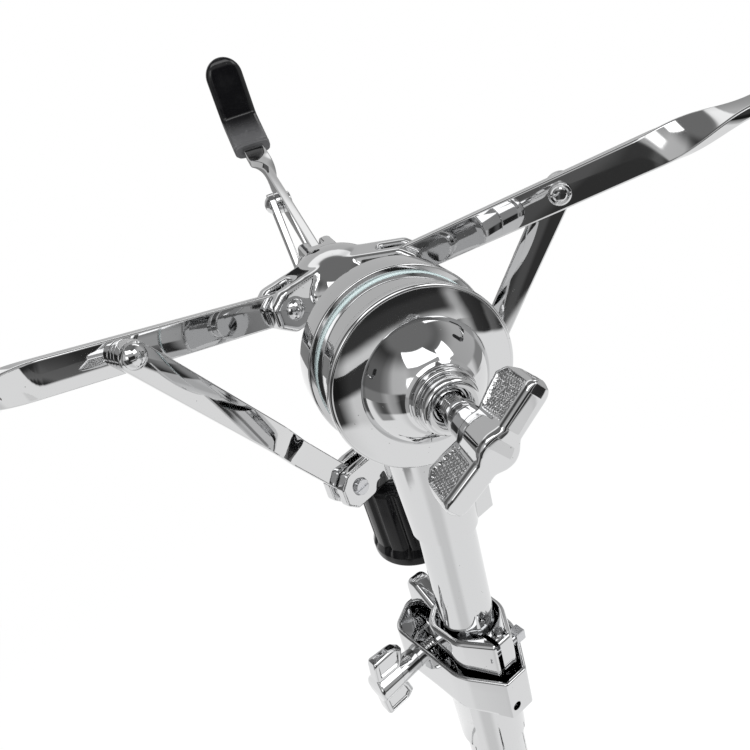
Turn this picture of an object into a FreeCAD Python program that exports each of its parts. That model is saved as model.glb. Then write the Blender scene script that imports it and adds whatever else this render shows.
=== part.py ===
import FreeCAD, Part
import math
import os
import Sketcher
from FreeCAD import Placement, Rotation, Vector

# Snare drum stand with a folding tripod, a clamped height tube, a disc tilter and a three-arm basket.
# Millimetres, +Z up. The origin is on the floor under the axis of the tubes. The tilter's wing bolt
# faces -Y, and the basket stands behind the tubes on the +Y side.

doc = FreeCAD.newDocument("snare_stand")
sheet = doc.addObject("Spreadsheet::Sheet", "sizes")
nodes = {}

driving = (
    # Tubes and their heights
    ("tilter_height", 560.0),
    ("mast_radius", 11.1),
    ("mast_length", 290.0),
    ("post_radius", 12.7),
    ("tube_wall", 1.2),
    ("post_tail", 15.0),
    ("cap_height", 3.0),
    ("cap_plug", 14.0),
    ("running_clearance", 0.08),
    ("free_clearance", 0.4),
    ("edge_break", 0.8),
    ("cut_over", 1.0),
    ("cut_reach", 60.0),
    # Tilter discs: distances are measured forward from the tube axis
    ("pad_front", 0.8),
    ("pad_thickness", 2.0),
    ("pad_inset", 0.6),
    ("rear_disc_radius", 32.8),
    ("rear_disc_thickness", 12.4),
    ("boss_radius", 15.0),
    ("boss_depth", 17.0),
    ("boss_floor", 2.0),
    ("bracket_root", 6.0),
    ("front_disc_radius", 31.2),
    ("front_disc_depth", 16.2),
    ("rim_bead", 1.6),
    ("dish_radius", 4.6),
    ("dome_step", 1.9),
    ("dome_radius", 21.3),
    ("dome_curve", 23.0),
    ("dome_height", 11.9),
    ("neck_radius", 10.2),
    ("neck_length", 3.4),
    ("ring_radius", 9.4),
    ("ring_length", 4.4),
    ("bolt_radius", 4.8),
    # Tube socket under the front disc
    ("socket_drop", 70.0),
    ("socket_radius", 15.8),
    ("socket_lip", 1.6),
    ("socket_top", 24.0),
    ("socket_depth", 33.0),
    ("lug_reach", 20.0),
    ("lug_root", 8.0),
    ("lug_tip", 2.6),
    ("lug_height", 32.0),
    ("socket_pin_radius", 1.9),
    # Wing bolt of the tilter
    ("barrel_radius", 5.6),
    ("bolt_gap", 4.0),
    ("barrel_length", 22.4),
    ("barrel_dome", 0.9),
    ("barrel_nose", 2.2),
    ("barrel_flare", 1.3),
    ("wing_span", 21.0),
    ("wing_thickness", 8.0),
    ("wing_chord", 17.0),
    ("wing_border", 2.4),
    ("pad_sink", 1.3),
    ("wing_turn", 41.0),
    # Bracket behind the rear disc and the basket axis
    ("basket_offset", 75.0),
    ("hub_rise", 11.0),
    ("basket_heading", 87.2),
    ("basket_tilt", -2.4),
    ("sleeve_radius", 11.5),
    ("sleeve_length", 34.0),
    ("hub_washer", 2.0),
    ("bracket_width", 13.0),
    ("bushing_wall", 1.9),
    ("shaft_radius", 6.0),
    ("shaft_length", 136.0),
    # Basket hub and arms
    ("hub_radius", 21.0),
    ("hub_crown", 12.0),
    ("ear_height", 19.0),
    ("ear_reach", 38.5),
    ("ear_thickness", 5.4),
    ("arm_pivot_radius", 29.0),
    ("pivot_pin_radius", 2.5),
    ("rivet_head_radius", 4.6),
    ("rivet_head_height", 2.6),
    ("strip_width", 12.8),
    ("strip_thickness", 4.2),
    ("arm_rise", 13.8),
    ("arm_rivet_at", 67.5),
    ("twist_start", 95.0),
    ("twist_length", 38.0),
    ("seat_start", 150.0),
    ("seat_length", 20.5),
    ("seat_bend", 24.0),
    ("tip_length", 28.5),
    ("tip_bend", 52.0),
    ("boot_wall", 2.2),
    ("boot_width", 22.4),
    ("boot_edge", 1.8),
    ("bend_radius", 7.0),
    ("link_rivet_radius", 3.0),
    ("boot_mouth", 3.0),
    # Links, collar and nut
    ("link_thickness", 3.5),
    ("link_width", 11.4),
    ("link_spacer", 2.4),
    ("link_eye_radius", 8.0),
    ("open_pivot_clearance", 2.1),
    ("collar_drop", 89.5),
    ("collar_pivot_radius", 28.0),
    ("collar_radius", 14.0),
    ("collar_height", 19.0),
    ("clevis_reach", 37.5),
    ("clevis_ear", 5.0),
    ("nut_radius", 21.0),
    ("nut_length", 44.0),
    ("nut_flare", 1.4),
    ("flute_radius", 4.2),
    ("flute_count", 12),
    ("insert_radius", 10.0),
    ("washer_thickness", 2.0),
    ("nut_skirt", 8.0),
    ("nut_round", 2.0),
    ("screw_radius", 2.4),
    ("screw_head_radius", 4.2),
    ("screw_head_height", 1.6),
    ("screw_slot", 0.9),
    ("clevis_corner", 5.0),
    ("link_crank_begin", 0.55),
    ("link_crank_end", 0.74),
    # Height clamp and memory lock
    ("clamp_drop", 128.0),
    ("clamp_height", 28.0),
    ("clamp_slope", 7.5),
    ("clamp_turn", 108.0),
    ("clamp_ear_reach", 34.0),
    ("clamp_ear_half", 8.0),
    ("clamp_side_reach", 27.4),
    ("clamp_side_half", 20.2),
    ("clamp_flank_reach", 8.7),
    ("clamp_flank_half", 17.2),
    ("clamp_nose_reach", 24.1),
    ("clamp_nose_half", 5.5),
    ("clamp_slit", 2.4),
    ("clamp_recess_wall", 1.8),
    ("clamp_recess", 18.0),
    ("clamp_eyelet", 2.0),
    ("sleeve_drop", 30.0),
    ("sleeve_taper", 0.6),
    ("sleeve_wall", 2.2),
    ("tube_step", 2.0),
    ("lock_height", 27.8),
    ("lock_back_reach", 13.6),
    ("lock_back_half", 9.5),
    ("lock_side_reach", 4.2),
    ("lock_side_half", 15.4),
    ("lock_front_reach", 17.0),
    ("lock_front_half", 7.0),
    ("lock_nose_reach", 20.6),
    ("lock_nose_half", 3.2),
    ("lock_slit_side", 2.0),
    ("fin_reach", 31.0),
    ("fin_rise", 6.0),
    ("fin_width", 9.0),
    ("fin_side", 2.5),
    ("fin_low", 12.5),
    ("fin_corner", 4.0),
    ("scoop_radius", 3.0),
    ("scoop_depth", 5.0),
    ("scoop_side", 2.4),
    ("key_radius", 2.0),
    ("key_head", 4.6),
    ("key_drop", 8.0),
    ("clamp_bolt_radius", 3.4),
    ("clamp_bolt_at", 18.0),
    ("clamp_bolt_rise", 15.0),
    ("clamp_seat_half", 18.6),
    ("clamp_nut_height", 5.0),
    ("clamp_barrel_radius", 4.7),
    ("clamp_wing_span", 16.0),
    ("clamp_wing_chord", 14.5),
    ("clamp_wing_stand", 6.0),
    ("clamp_wing_thickness", 6.0),
    # Folding tripod
    ("leg_spread", 48.0),
    ("brace_length", 120.0),
    ("leg_length", 291.0),
    ("leg_pivot_radius", 27.0),
    ("foot_stand", 10.874),
    ("leg_width", 16.0),
    ("leg_depth", 11.6),
    ("leg_wall", 1.6),
    ("leg_eye_radius", 5.4),
    ("brace_thickness", 4.0),
    ("leg_pin_radius", 2.4),
    ("leg_collar_radius", 17.5),
    ("leg_collar_height", 22.0),
    ("foot_length", 40.0),
    ("foot_wall", 3.0),
    ("pin_head_radius", 4.0),
    ("pin_head_height", 1.4),
    ("pin_tail", 1.2),
    ("boss_height", 10.0),
    ("collar_boss_radius", 8.0),
    ("screw_heading", 210.0),
)

for row, (alias, value) in enumerate(driving, start=1):
    sheet.set("A%d" % row, alias)
    sheet.set("B%d" % row, str(value))
    sheet.setAlias("B%d" % row, alias)
doc.recompute()


class Size:
    """A size that carries its number and the sheet expression that gives it."""

    def __init__(self, value, text):
        self.value = value
        self.text = text

    def __add__(self, other):
        return Size(self.value + number(other), "(%s + %s)" % (self.text, words(other)))

    def __sub__(self, other):
        return Size(self.value - number(other), "(%s - %s)" % (self.text, words(other)))

    def __mul__(self, other):
        return Size(self.value * number(other), "(%s * %s)" % (self.text, words(other)))

    def __truediv__(self, other):
        return Size(self.value / number(other), "(%s / %s)" % (self.text, words(other)))

    def __neg__(self):
        return Size(-self.value, "(0 - %s)" % self.text)

    def __radd__(self, other):
        return self + other

    def __rmul__(self, other):
        return self * other

    def __rsub__(self, other):
        return -self + other


def number(entry):
    return entry.value if isinstance(entry, Size) else float(entry)


def words(entry):
    return entry.text if isinstance(entry, Size) else repr(float(entry))


def size(alias):
    return Size(float(sheet.get(alias)), "sizes." + alias)


def keep(label, item, place=None):
    """Names a finished sub-part and puts it in its place."""
    item.Label = label
    if place is not None:
        item.Placement = place
    nodes[label] = item
    return item


def origin_plane(body, role):
    return [feature for feature in body.Origin.OriginFeatures if feature.Role == role][0]


def outline(body, plane, corners):
    """A closed sketch through the corners (across, up). Each corner is tied to the sheet.

    A third entry is the radius of the arc that arrives there: positive turns left, negative right.
    """
    sketch = body.newObject("Sketcher::SketchObject", "outline")
    sketch.AttachmentSupport = [(origin_plane(body, plane), "")]
    sketch.MapMode = "FlatFace"
    ends = []
    for index, corner in enumerate(corners):
        before = corners[index - 1]
        first = Vector(number(before[0]), number(before[1]), 0)
        last = Vector(number(corner[0]), number(corner[1]), 0)
        if len(corner) == 2:
            sketch.addGeometry(Part.LineSegment(first, last))
            ends.append((1, 2))
            continue
        radius = number(corner[2])
        half = (last - first) * 0.5
        rise = math.sqrt(max(radius * radius - half.Length ** 2, 0.0))
        left = Vector(-half.y, half.x, 0).normalize()
        centre = first + half + left * math.copysign(rise, radius)
        circle = Part.Circle(centre, Vector(0, 0, 1), abs(radius))
        turns_left = radius > 0
        begin, finish = (first, last) if turns_left else (last, first)
        sketch.addGeometry(Part.ArcOfCircle(circle, circle.parameter(begin), circle.parameter(finish)))
        ends.append((1, 2) if turns_left else (2, 1))
    for index, corner in enumerate(corners):
        after = (index + 1) % len(corners)
        point = (index, ends[index][1])
        sketch.addConstraint(Sketcher.Constraint("Coincident", *point, after, ends[after][0]))
        for kind, entry in zip(("DistanceX", "DistanceY"), corner):
            tie = sketch.addConstraint(Sketcher.Constraint(kind, -1, 1, *point, number(entry)))
            sketch.setExpression("Constraints[%d]" % tie, words(entry))
        if len(corner) == 3:
            reach = corner[2] if number(corner[2]) > 0 else -corner[2]
            tie = sketch.addConstraint(Sketcher.Constraint("Radius", index, number(reach)))
            sketch.setExpression("Constraints[%d]" % tie, words(reach))
    return sketch


def revolved(corners):
    """A body turned about its Z axis from a half section (radius, height)."""
    body = doc.addObject("PartDesign::Body", "turned")
    sketch = outline(body, "XZ_Plane", corners)
    turn = body.newObject("PartDesign::Revolution", "turn")
    turn.Profile = sketch
    turn.ReferenceAxis = (sketch, ["V_Axis"])
    turn.Angle = 360.0
    doc.recompute()
    return body


def padded(plane, corners, length, both_sides=True):
    """A body raised from an outline, to both sides of its plane or to one."""
    body = doc.addObject("PartDesign::Body", "raised")
    sketch = outline(body, plane, corners)
    pad = body.newObject("PartDesign::Pad", "pad")
    pad.Profile = sketch
    pad.Midplane = both_sides
    pad.Length = number(length)
    pad.setExpression("Length", words(length))
    doc.recompute()
    return body


def cylinder(radius, height, place=Placement()):
    item = doc.addObject("Part::Cylinder", "round")
    item.setExpression("Radius", words(radius))
    item.setExpression("Height", words(height))
    item.Placement = place
    return item


def cone(low, high, height, place=Placement()):
    item = doc.addObject("Part::Cone", "taper")
    item.setExpression("Radius1", words(low))
    item.setExpression("Radius2", words(high))
    item.setExpression("Height", words(height))
    item.Placement = place
    return item


def box(along, across, height, place=Placement()):
    """A box centred across its Y axis, from the origin along X and up Z."""
    item = doc.addObject("Part::Box", "block")
    item.setExpression("Length", words(along))
    item.setExpression("Width", words(across))
    item.setExpression("Height", words(height))
    item.Placement = place * Placement(Vector(0, -number(across) / 2, 0), Rotation())
    return item


def fused(*items):
    union = doc.addObject("Part::MultiFuse", "joined")
    union.Shapes = list(items)
    return union


def minus(base, *tools):
    result = doc.addObject("Part::Cut", "cut")
    result.Base = base
    result.Tool = tools[0] if len(tools) == 1 else fused(*tools)
    return result


def shared(*items):
    common = doc.addObject("Part::MultiCommon", "shared")
    common.Shapes = list(items)
    return common


def grouped(*items):
    """Several like solids that make one node, such as a set of pins."""
    group = doc.addObject("Part::Compound", "set")
    group.Links = list(items)
    return group


def rounded(item, radius, wanted):
    """Rounds the edges of an item that the test picks out."""
    doc.recompute()
    smooth = doc.addObject("Part::Fillet", "rounded")
    smooth.Base = item
    picked = [index for index, edge in enumerate(item.Shape.Edges, start=1) if wanted(edge)]
    smooth.Edges = [(index, number(radius), number(radius)) for index in picked]
    return smooth


def at(x=0.0, y=0.0, z=0.0, axis=Vector(0, 0, 1), angle=0.0):
    return Placement(Vector(number(x), number(y), number(z)), Rotation(axis, number(angle)))


X_AXIS = Vector(1, 0, 0)
Y_AXIS = Vector(0, 1, 0)
Z_AXIS = Vector(0, 0, 1)
along_y = at(axis=X_AXIS, angle=-90)
clear = size("free_clearance")
running = size("running_clearance")
tiny = running / 2
edge = size("edge_break")
over = size("cut_over")
through = size("cut_reach")


def crown_radius(rim, height):
    """Radius of the sphere that makes a dome of this rim radius and height."""
    return (rim * rim + height * height) / (2 * height)


def pin(radius, length, head_radius, head_height, tail_height):
    """A rivet along Y: a shank centred on the origin, a domed head on +Y and a flat tail on -Y."""
    crown = crown_radius(head_radius, head_height)
    body = revolved((
        (0, -length / 2 - tail_height),
        (head_radius * 0.8, -length / 2 - tail_height),
        (head_radius * 0.8, -length / 2),
        (radius, -length / 2),
        (radius, length / 2),
        (head_radius, length / 2),
        (0, length / 2 + head_height, crown),
    ))
    body.Placement = along_y
    return body


# Frames of the moving groups: the tilter turns about Y, the basket stands on its own tilted axis
tilter_frame = at(z=size("tilter_height")) * at(axis=Y_AXIS, angle=size("basket_tilt"))
basket_frame = tilter_frame * at(y=size("basket_offset"), z=size("hub_rise"))
arm_headings = [number(size("basket_heading")) + 120.0 * turn for turn in range(3)]
leg_headings = [-90.0 + 120.0 * turn for turn in range(3)]
tilter_height = size("tilter_height")
mast_radius = size("mast_radius")
post_radius = size("post_radius")
post_bore = post_radius - size("tube_wall")
shaft_radius = size("shaft_radius")
spread = size("leg_spread")
spread_angle = math.radians(number(spread))
upright = Size(math.cos(spread_angle), "cos(sizes.leg_spread)")
sideways = Size(math.sin(spread_angle), "sin(sizes.leg_spread)")
brace_length = size("brace_length")
leg_length = size("leg_length")
leg_top = size("foot_stand") + leg_length * upright
brace_height = leg_top - brace_length * upright * 2


# Upper tube: plain drawn tube that slides in the lower one and ends inside the tilter's socket
mast_top = tilter_height - size("socket_drop") + size("socket_depth")
mast_length = size("mast_length")
mast = minus(
    cylinder(mast_radius, mast_length),
    cylinder(mast_radius - size("tube_wall"), mast_length + over * 2, at(z=-over)),
)
keep("upper_tube", mast, at(z=mast_top - mast_length))


# Lower tube, its end cap and the nylon bushing that guides the upper tube
clamp_top = tilter_height - size("clamp_drop")
clamp_base = clamp_top - size("clamp_height")
post_base = brace_height - size("post_tail")
post_top = clamp_base + size("tube_step")
post = minus(
    cylinder(post_radius, post_top - post_base),
    cylinder(post_bore, post_top - post_base + over * 2, at(z=-over)),
)
keep("lower_tube", post, at(z=post_base))

cap_lip = size("tube_wall")
cap = revolved((
    (0, -size("cap_height")),
    (post_radius - edge * 2, -size("cap_height")),
    (post_radius, edge * 2 - size("cap_height")),
    (post_radius, 0),
    (post_bore - tiny, 0),
    (post_bore - tiny, size("cap_plug")),
    (post_bore - cap_lip, size("cap_plug")),
    (post_bore - cap_lip, cap_lip),
    (0, cap_lip),
))
keep("tube_end_cap", cap, at(z=post_base))

recess_floor = clamp_top - size("clamp_recess")
guide = minus(
    cylinder(post_radius, recess_floor - post_top),
    cylinder(mast_radius + running, recess_floor - post_top + over * 2, at(z=-over)),
)
keep("tube_bushing", guide, at(z=post_top))


# Height clamp: one split casting shaped like a shield in plan, its ears at the back left and a blunt nose
# at the front, a sloping top with a recess for the memory lock, and a sleeve over the lower tube
clamp_frame = at(axis=Z_AXIS, angle=size("clamp_turn"))
ear_reach = size("clamp_ear_reach")
nose_reach = size("clamp_nose_reach")
clamp_height = size("clamp_height")


def shield(half, length, place):
    """A plan that is the same on both sides of the X axis, raised upwards: half lists its +Y corners."""
    corners = [(x, -y) for x, y in half] + [(x, y) for x, y in reversed(half)]
    body = padded("XY_Plane", corners, length, both_sides=False)
    body.Placement = place
    return body


def clamp_plan(inset):
    return [
        (-nose_reach + inset, size("clamp_nose_half")),
        (-size("clamp_flank_reach"), size("clamp_flank_half") - inset),
        (size("clamp_side_reach"), size("clamp_side_half") - inset),
        (ear_reach - inset, size("clamp_ear_half") - inset),
    ]


sleeve_radius = post_radius + size("sleeve_wall")
clamp_blank = fused(
    shield(clamp_plan(Size(0.0, "0")), clamp_height, at()),
    cone(sleeve_radius - size("sleeve_taper"), sleeve_radius, size("sleeve_drop"),
         at(z=-size("sleeve_drop"))),
)
slope_block = box(through * 2, through * 2, through)
slope_cut = at(x=ear_reach, z=clamp_height, axis=Y_AXIS, angle=-size("clamp_slope"))
slope_block.Placement = slope_cut * at(x=over * 10 - through * 2, y=-through)
bolt_axis = at(x=size("clamp_bolt_at"), z=size("clamp_bolt_rise"))
bolt_bore = size("clamp_bolt_radius") + running
nut_side = size("clamp_bolt_radius") * 3.2
spot_radius = nut_side * 0.74
seat_half = size("clamp_seat_half")
slit_block = box(ear_reach, size("clamp_slit"), clamp_height + over * 2, at(x=post_bore - over, z=-over))
eyelet_side = size("clamp_nose_half") * 0.5
eyelet_axis = at(x=over * 2 - nose_reach, y=eyelet_side, z=clamp_height * 0.2, axis=Y_AXIS, angle=-90)
clamp_cut = minus(
    clamp_blank,
    slope_block,
    shield(clamp_plan(size("clamp_recess_wall")), clamp_height, at(z=clamp_height - size("clamp_recess"))),
    cylinder(post_radius + tiny, through * 2, at(z=-through)),
    slit_block,
    cylinder(bolt_bore, through, bolt_axis * at(y=-through / 2) * along_y),
    cylinder(spot_radius, through, bolt_axis * at(y=seat_half) * along_y),
    cylinder(spot_radius, through, bolt_axis * at(y=-seat_half - through) * along_y),
    cylinder(size("clamp_eyelet"), over * 6, eyelet_axis),
)
keep("height_clamp", clamp_cut, at(z=clamp_base) * clamp_frame)


def wing_bolt(shank_radius, shank_length, barrel_radius, barrel_length, span, chord, thickness):
    """A wing bolt along +Z: shank below the origin, barrel above it, two wings with sunk finger pads."""
    back = barrel_length - chord
    border = size("wing_border")
    sink = size("pad_sink")
    front_radius = barrel_radius * size("barrel_flare")
    end_rim = front_radius - edge * 2
    end_dome = size("barrel_dome")
    end_step = barrel_length + size("barrel_nose")
    plate = rounded(padded("XZ_Plane", (
        (barrel_radius * 0.5, back + chord * 0.2),
        (span * 0.76, back),
        (span * 0.97, back + chord * 0.45),
        (span, barrel_length - edge * 2),
        (span * 0.93, barrel_length),
        (front_radius, barrel_length + over),
        (-front_radius, barrel_length + over),
        (-span * 0.93, barrel_length),
        (-span, barrel_length - edge * 2),
        (-span * 0.97, back + chord * 0.45),
        (-span * 0.76, back),
        (-barrel_radius * 0.5, back + chord * 0.2),
    ), thickness), thickness * 0.22, lambda line: abs(line.BoundBox.YLength) < 0.01)
    sinks = []
    for side in (-1, 1):
        near = side * (front_radius + over)
        far = side * (span * 0.97 - border)
        top = side * (span * 0.76 - border * 0.6)
        for face in (thickness / 2 + over, -thickness / 2 + sink):
            pocket = padded("XZ_Plane", (
                (near, back + chord * 0.14 + border),
                (top, back + border),
                (far, back + chord * 0.45),
                (far, barrel_length - border * 1.6),
                (near, barrel_length - border * 1.2),
            ), sink + over, both_sides=False)
            pocket.Placement = at(y=face)
            sinks.append(pocket)
    stem = revolved((
        (0, -shank_length),
        (shank_radius - edge, -shank_length),
        (shank_radius, -shank_length + edge),
        (shank_radius, 0),
        (barrel_radius - edge / 2, 0),
        (barrel_radius, edge / 2),
        (front_radius, barrel_length),
        (end_rim, end_step),
        (0, end_step + end_dome, crown_radius(end_rim, end_dome)),
    ))
    return fused(minus(plate, *sinks), stem)


# Wing bolt of the clamp, across its ears into a square nut on the far side
clamp_bolt_length = seat_half * 2 + size("clamp_nut_height") + clear * 2
clamp_bolt = wing_bolt(size("clamp_bolt_radius"), clamp_bolt_length, size("clamp_barrel_radius"),
                       size("clamp_wing_chord") + size("clamp_wing_stand"), size("clamp_wing_span"),
                       size("clamp_wing_chord"), size("clamp_wing_thickness"))
ear_axis = at(z=clamp_base) * clamp_frame * bolt_axis
keep("clamp_wing_bolt", clamp_bolt,
     ear_axis * at(y=seat_half + clear) * along_y * at(axis=Z_AXIS, angle=90))
clamp_nut = minus(
    box(nut_side, nut_side, size("clamp_nut_height"), at(x=-nut_side / 2)),
    cylinder(bolt_bore, through, at(z=-through / 2)),
)
keep("clamp_nut", clamp_nut, ear_axis * at(y=-seat_half, axis=X_AXIS, angle=90))


# Memory lock: a ring clamped on the upper tube, split beside its nose, with a raised fin over the clamp's
# ears, a scoop at the nose and a key screw across the split
lock_height = size("lock_height")
fin_top = lock_height + size("fin_rise")
fin_corner = size("fin_corner")
fin = padded("XZ_Plane", (
    (mast_radius, size("fin_low")),
    (size("fin_reach") - fin_corner, size("fin_low")),
    (size("fin_reach"), size("fin_low") + fin_corner),
    (size("fin_reach"), fin_top - fin_corner),
    (size("fin_reach") - fin_corner, fin_top),
    (mast_radius, lock_height),
), size("fin_width"))
fin.Placement = at(y=size("fin_side"))
key_radius = size("key_radius")
key_head = size("key_head")
key_at = (size("lock_front_reach") + size("lock_nose_reach")) / 2 - key_radius
key_height = lock_height - size("key_drop")
key_axis = at(x=-key_at, y=-size("lock_front_half") - edge, z=key_height) * along_y
lock = minus(
    fused(
        shield([
            (-size("lock_nose_reach"), size("lock_nose_half")),
            (-size("lock_front_reach"), size("lock_front_half")),
            (size("lock_side_reach"), size("lock_side_half")),
            (size("lock_back_reach"), size("lock_back_half")),
        ], lock_height, at()),
        fin,
    ),
    cylinder(mast_radius + tiny, through, at(z=-over)),
    box(size("lock_nose_reach"), size("clamp_slit"), through,
        at(x=-size("lock_nose_reach") - mast_radius / 2, y=size("lock_slit_side"), z=-over)),
    cylinder(size("scoop_radius"), through,
             at(x=-key_at, y=-size("scoop_side"), z=lock_height - size("scoop_depth"))),
    cylinder(key_radius + tiny, through, key_axis),
)
lock_frame = at(z=recess_floor + clear / 2) * clamp_frame
keep("memory_lock", lock, lock_frame)
key_screw = fused(
    cylinder(key_radius, size("lock_front_half") * 2, key_axis),
    box(key_head, key_head, key_head, key_axis * at(x=-key_head / 2, z=-key_head)),
)
keep("memory_lock_screw", key_screw, lock_frame)


# Front tilter disc: a deep rim with a bead, a dished ring, a dome and a neck, cast with the tube socket
pad_front = size("pad_front")
rim_front = pad_front + size("front_disc_depth")
front_radius = size("front_disc_radius")
bead = size("rim_bead")
dome_base = rim_front + size("dome_step")
neck_base = dome_base + size("dome_height")
neck_end = neck_base + size("neck_length")
bolt_hole = size("bolt_radius") + running
facing_front = at(axis=X_AXIS, angle=90)
front_disc = revolved((
    (bolt_hole, pad_front),
    (front_radius - bead, pad_front),
    (front_radius - bead / 2, pad_front + bead / 2),
    (front_radius - bead / 2, rim_front - bead * 2),
    (front_radius, rim_front - bead),
    (front_radius - bead, rim_front, bead),
    (front_radius - bead * 1.6, rim_front),
    (size("dome_radius"), dome_base, -size("dish_radius")),
    (size("neck_radius"), neck_base, size("dome_curve")),
    (size("neck_radius"), neck_end - edge),
    (size("neck_radius") - edge, neck_end),
    (bolt_hole, neck_end),
))
front_disc.Placement = facing_front
socket_drop = size("socket_drop")
socket_lug = padded("XY_Plane", (
    (mast_radius * 0.6, -size("lug_root")),
    (size("lug_reach"), -size("lug_tip")),
    (size("lug_reach"), size("lug_tip")),
    (mast_radius * 0.6, size("lug_root")),
), size("lug_height"), both_sides=False)
socket_lug.Placement = at(z=-socket_drop)
socket_pin_radius = size("socket_pin_radius")
pin_height = -socket_drop + size("socket_depth") * 0.35
pin_axis = at(x=-through / 2, z=pin_height, axis=Y_AXIS, angle=90)
tilter_head = minus(
    fused(
        front_disc,
        cone(mast_radius + size("socket_lip"), size("socket_radius"), socket_drop - size("socket_top"),
             at(z=-socket_drop)),
        socket_lug,
    ),
    cylinder(mast_radius + tiny, size("socket_depth") + over, at(z=-socket_drop - over)),
    cylinder(size("rear_disc_radius") + clear, through, at(y=-pad_front) * along_y),
    cylinder(bolt_hole, through, facing_front),
    cylinder(socket_pin_radius + tiny, through, pin_axis),
)
keep("tilter_front_disc", tilter_head, at(z=tilter_height))
socket_pin = cylinder(socket_pin_radius, size("lug_reach") + mast_radius)
keep("socket_pin", socket_pin,
     at(z=tilter_height) * at(x=edge - mast_radius, z=pin_height, axis=Y_AXIS, angle=90))
pin_level = pin_height + tilter_height + mast_length - mast_top
mast.Tool = fused(mast.Tool, cylinder(socket_pin_radius + tiny, through,
                                      at(x=-through / 2, z=pin_level, axis=Y_AXIS, angle=90)))

ring_end = neck_end + size("ring_length")
neck_ring = revolved((
    (bolt_hole, neck_end),
    (size("ring_radius") - edge, neck_end),
    (size("ring_radius"), neck_end + edge),
    (size("ring_radius"), ring_end - edge * 2),
    (size("ring_radius") - edge * 2, ring_end, edge * 2),
    (bolt_hole + edge * 2, ring_end),
    (bolt_hole, ring_end - edge * 2),
))
keep("neck_ring", neck_ring, at(z=tilter_height) * facing_front)


# Tilter wing bolt: turns in the neck and screws into the rear disc
barrel_start = ring_end + size("bolt_gap")
bolt_reach = barrel_start - pad_front + size("pad_thickness") + size("rear_disc_thickness")
tilter_bolt = wing_bolt(size("bolt_radius"), bolt_reach, size("barrel_radius"), size("barrel_length"),
                        size("wing_span"), size("wing_chord"), size("wing_thickness"))
keep("tilter_wing_bolt", tilter_bolt,
     at(z=tilter_height) * facing_front * at(z=barrel_start, axis=Z_AXIS, angle=size("wing_turn")))


# Friction pad and rear disc. The rear disc carries the bracket with the sleeve of the basket shaft
pad_back = size("pad_thickness") - pad_front
friction_pad = minus(
    cylinder(front_radius - size("pad_inset"), size("pad_thickness")),
    cylinder(size("boss_radius") * 0.8, size("pad_thickness") + over * 2, at(z=-over)),
)
keep("friction_pad", friction_pad, tilter_frame * at(y=-pad_front) * along_y)

rear_radius = size("rear_disc_radius")
rear_back = pad_back + size("rear_disc_thickness")
boss_back = pad_back + size("boss_depth")
rear_disc = revolved((
    (bolt_hole, pad_back),
    (rear_radius - edge, pad_back),
    (rear_radius, pad_back + edge),
    (rear_radius, rear_back - edge),
    (rear_radius - edge, rear_back),
    (rear_radius - edge * 5, rear_back),
    (size("boss_radius"), boss_back - edge * 4),
    (size("boss_radius"), boss_back),
    (0, boss_back),
    (0, boss_back - size("boss_floor")),
    (bolt_hole, boss_back - size("boss_floor")),
))
rear_disc.Placement = along_y
offset = size("basket_offset")
sleeve_top_z = size("hub_rise") - size("ear_height") / 2 - size("hub_washer")
sleeve_low_z = sleeve_top_z - size("sleeve_length")
bracket = padded("YZ_Plane", (
    (boss_back - size("bracket_root"), size("boss_radius") * 0.75),
    (boss_back - size("bracket_root"), -size("boss_radius") * 0.9),
    (offset - shaft_radius, sleeve_low_z + edge * 2),
    (offset - shaft_radius, sleeve_top_z - edge * 2),
), size("bracket_width"))
sleeve_axis = at(y=offset, z=sleeve_low_z)
bushing_radius = shaft_radius + size("bushing_wall")
tilter_back = minus(
    fused(rear_disc, bracket, cylinder(size("sleeve_radius"), size("sleeve_length"), sleeve_axis)),
    cylinder(bushing_radius + tiny, size("sleeve_length") + over * 2, sleeve_axis * at(z=-over)),
    cylinder(bolt_hole, size("boss_depth") - size("boss_floor"), at(y=pad_back) * along_y),
)
keep("tilter_rear_disc", tilter_back, tilter_frame)
shaft_bushing = minus(
    fused(
        cylinder(bushing_radius, size("sleeve_length") + over, at(z=-over)),
        cylinder(size("sleeve_radius") - edge, over, at(z=-over)),
    ),
    cylinder(shaft_radius + running, through, at(z=-over * 2)),
)
keep("shaft_bushing", shaft_bushing, tilter_frame * sleeve_axis)


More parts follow.
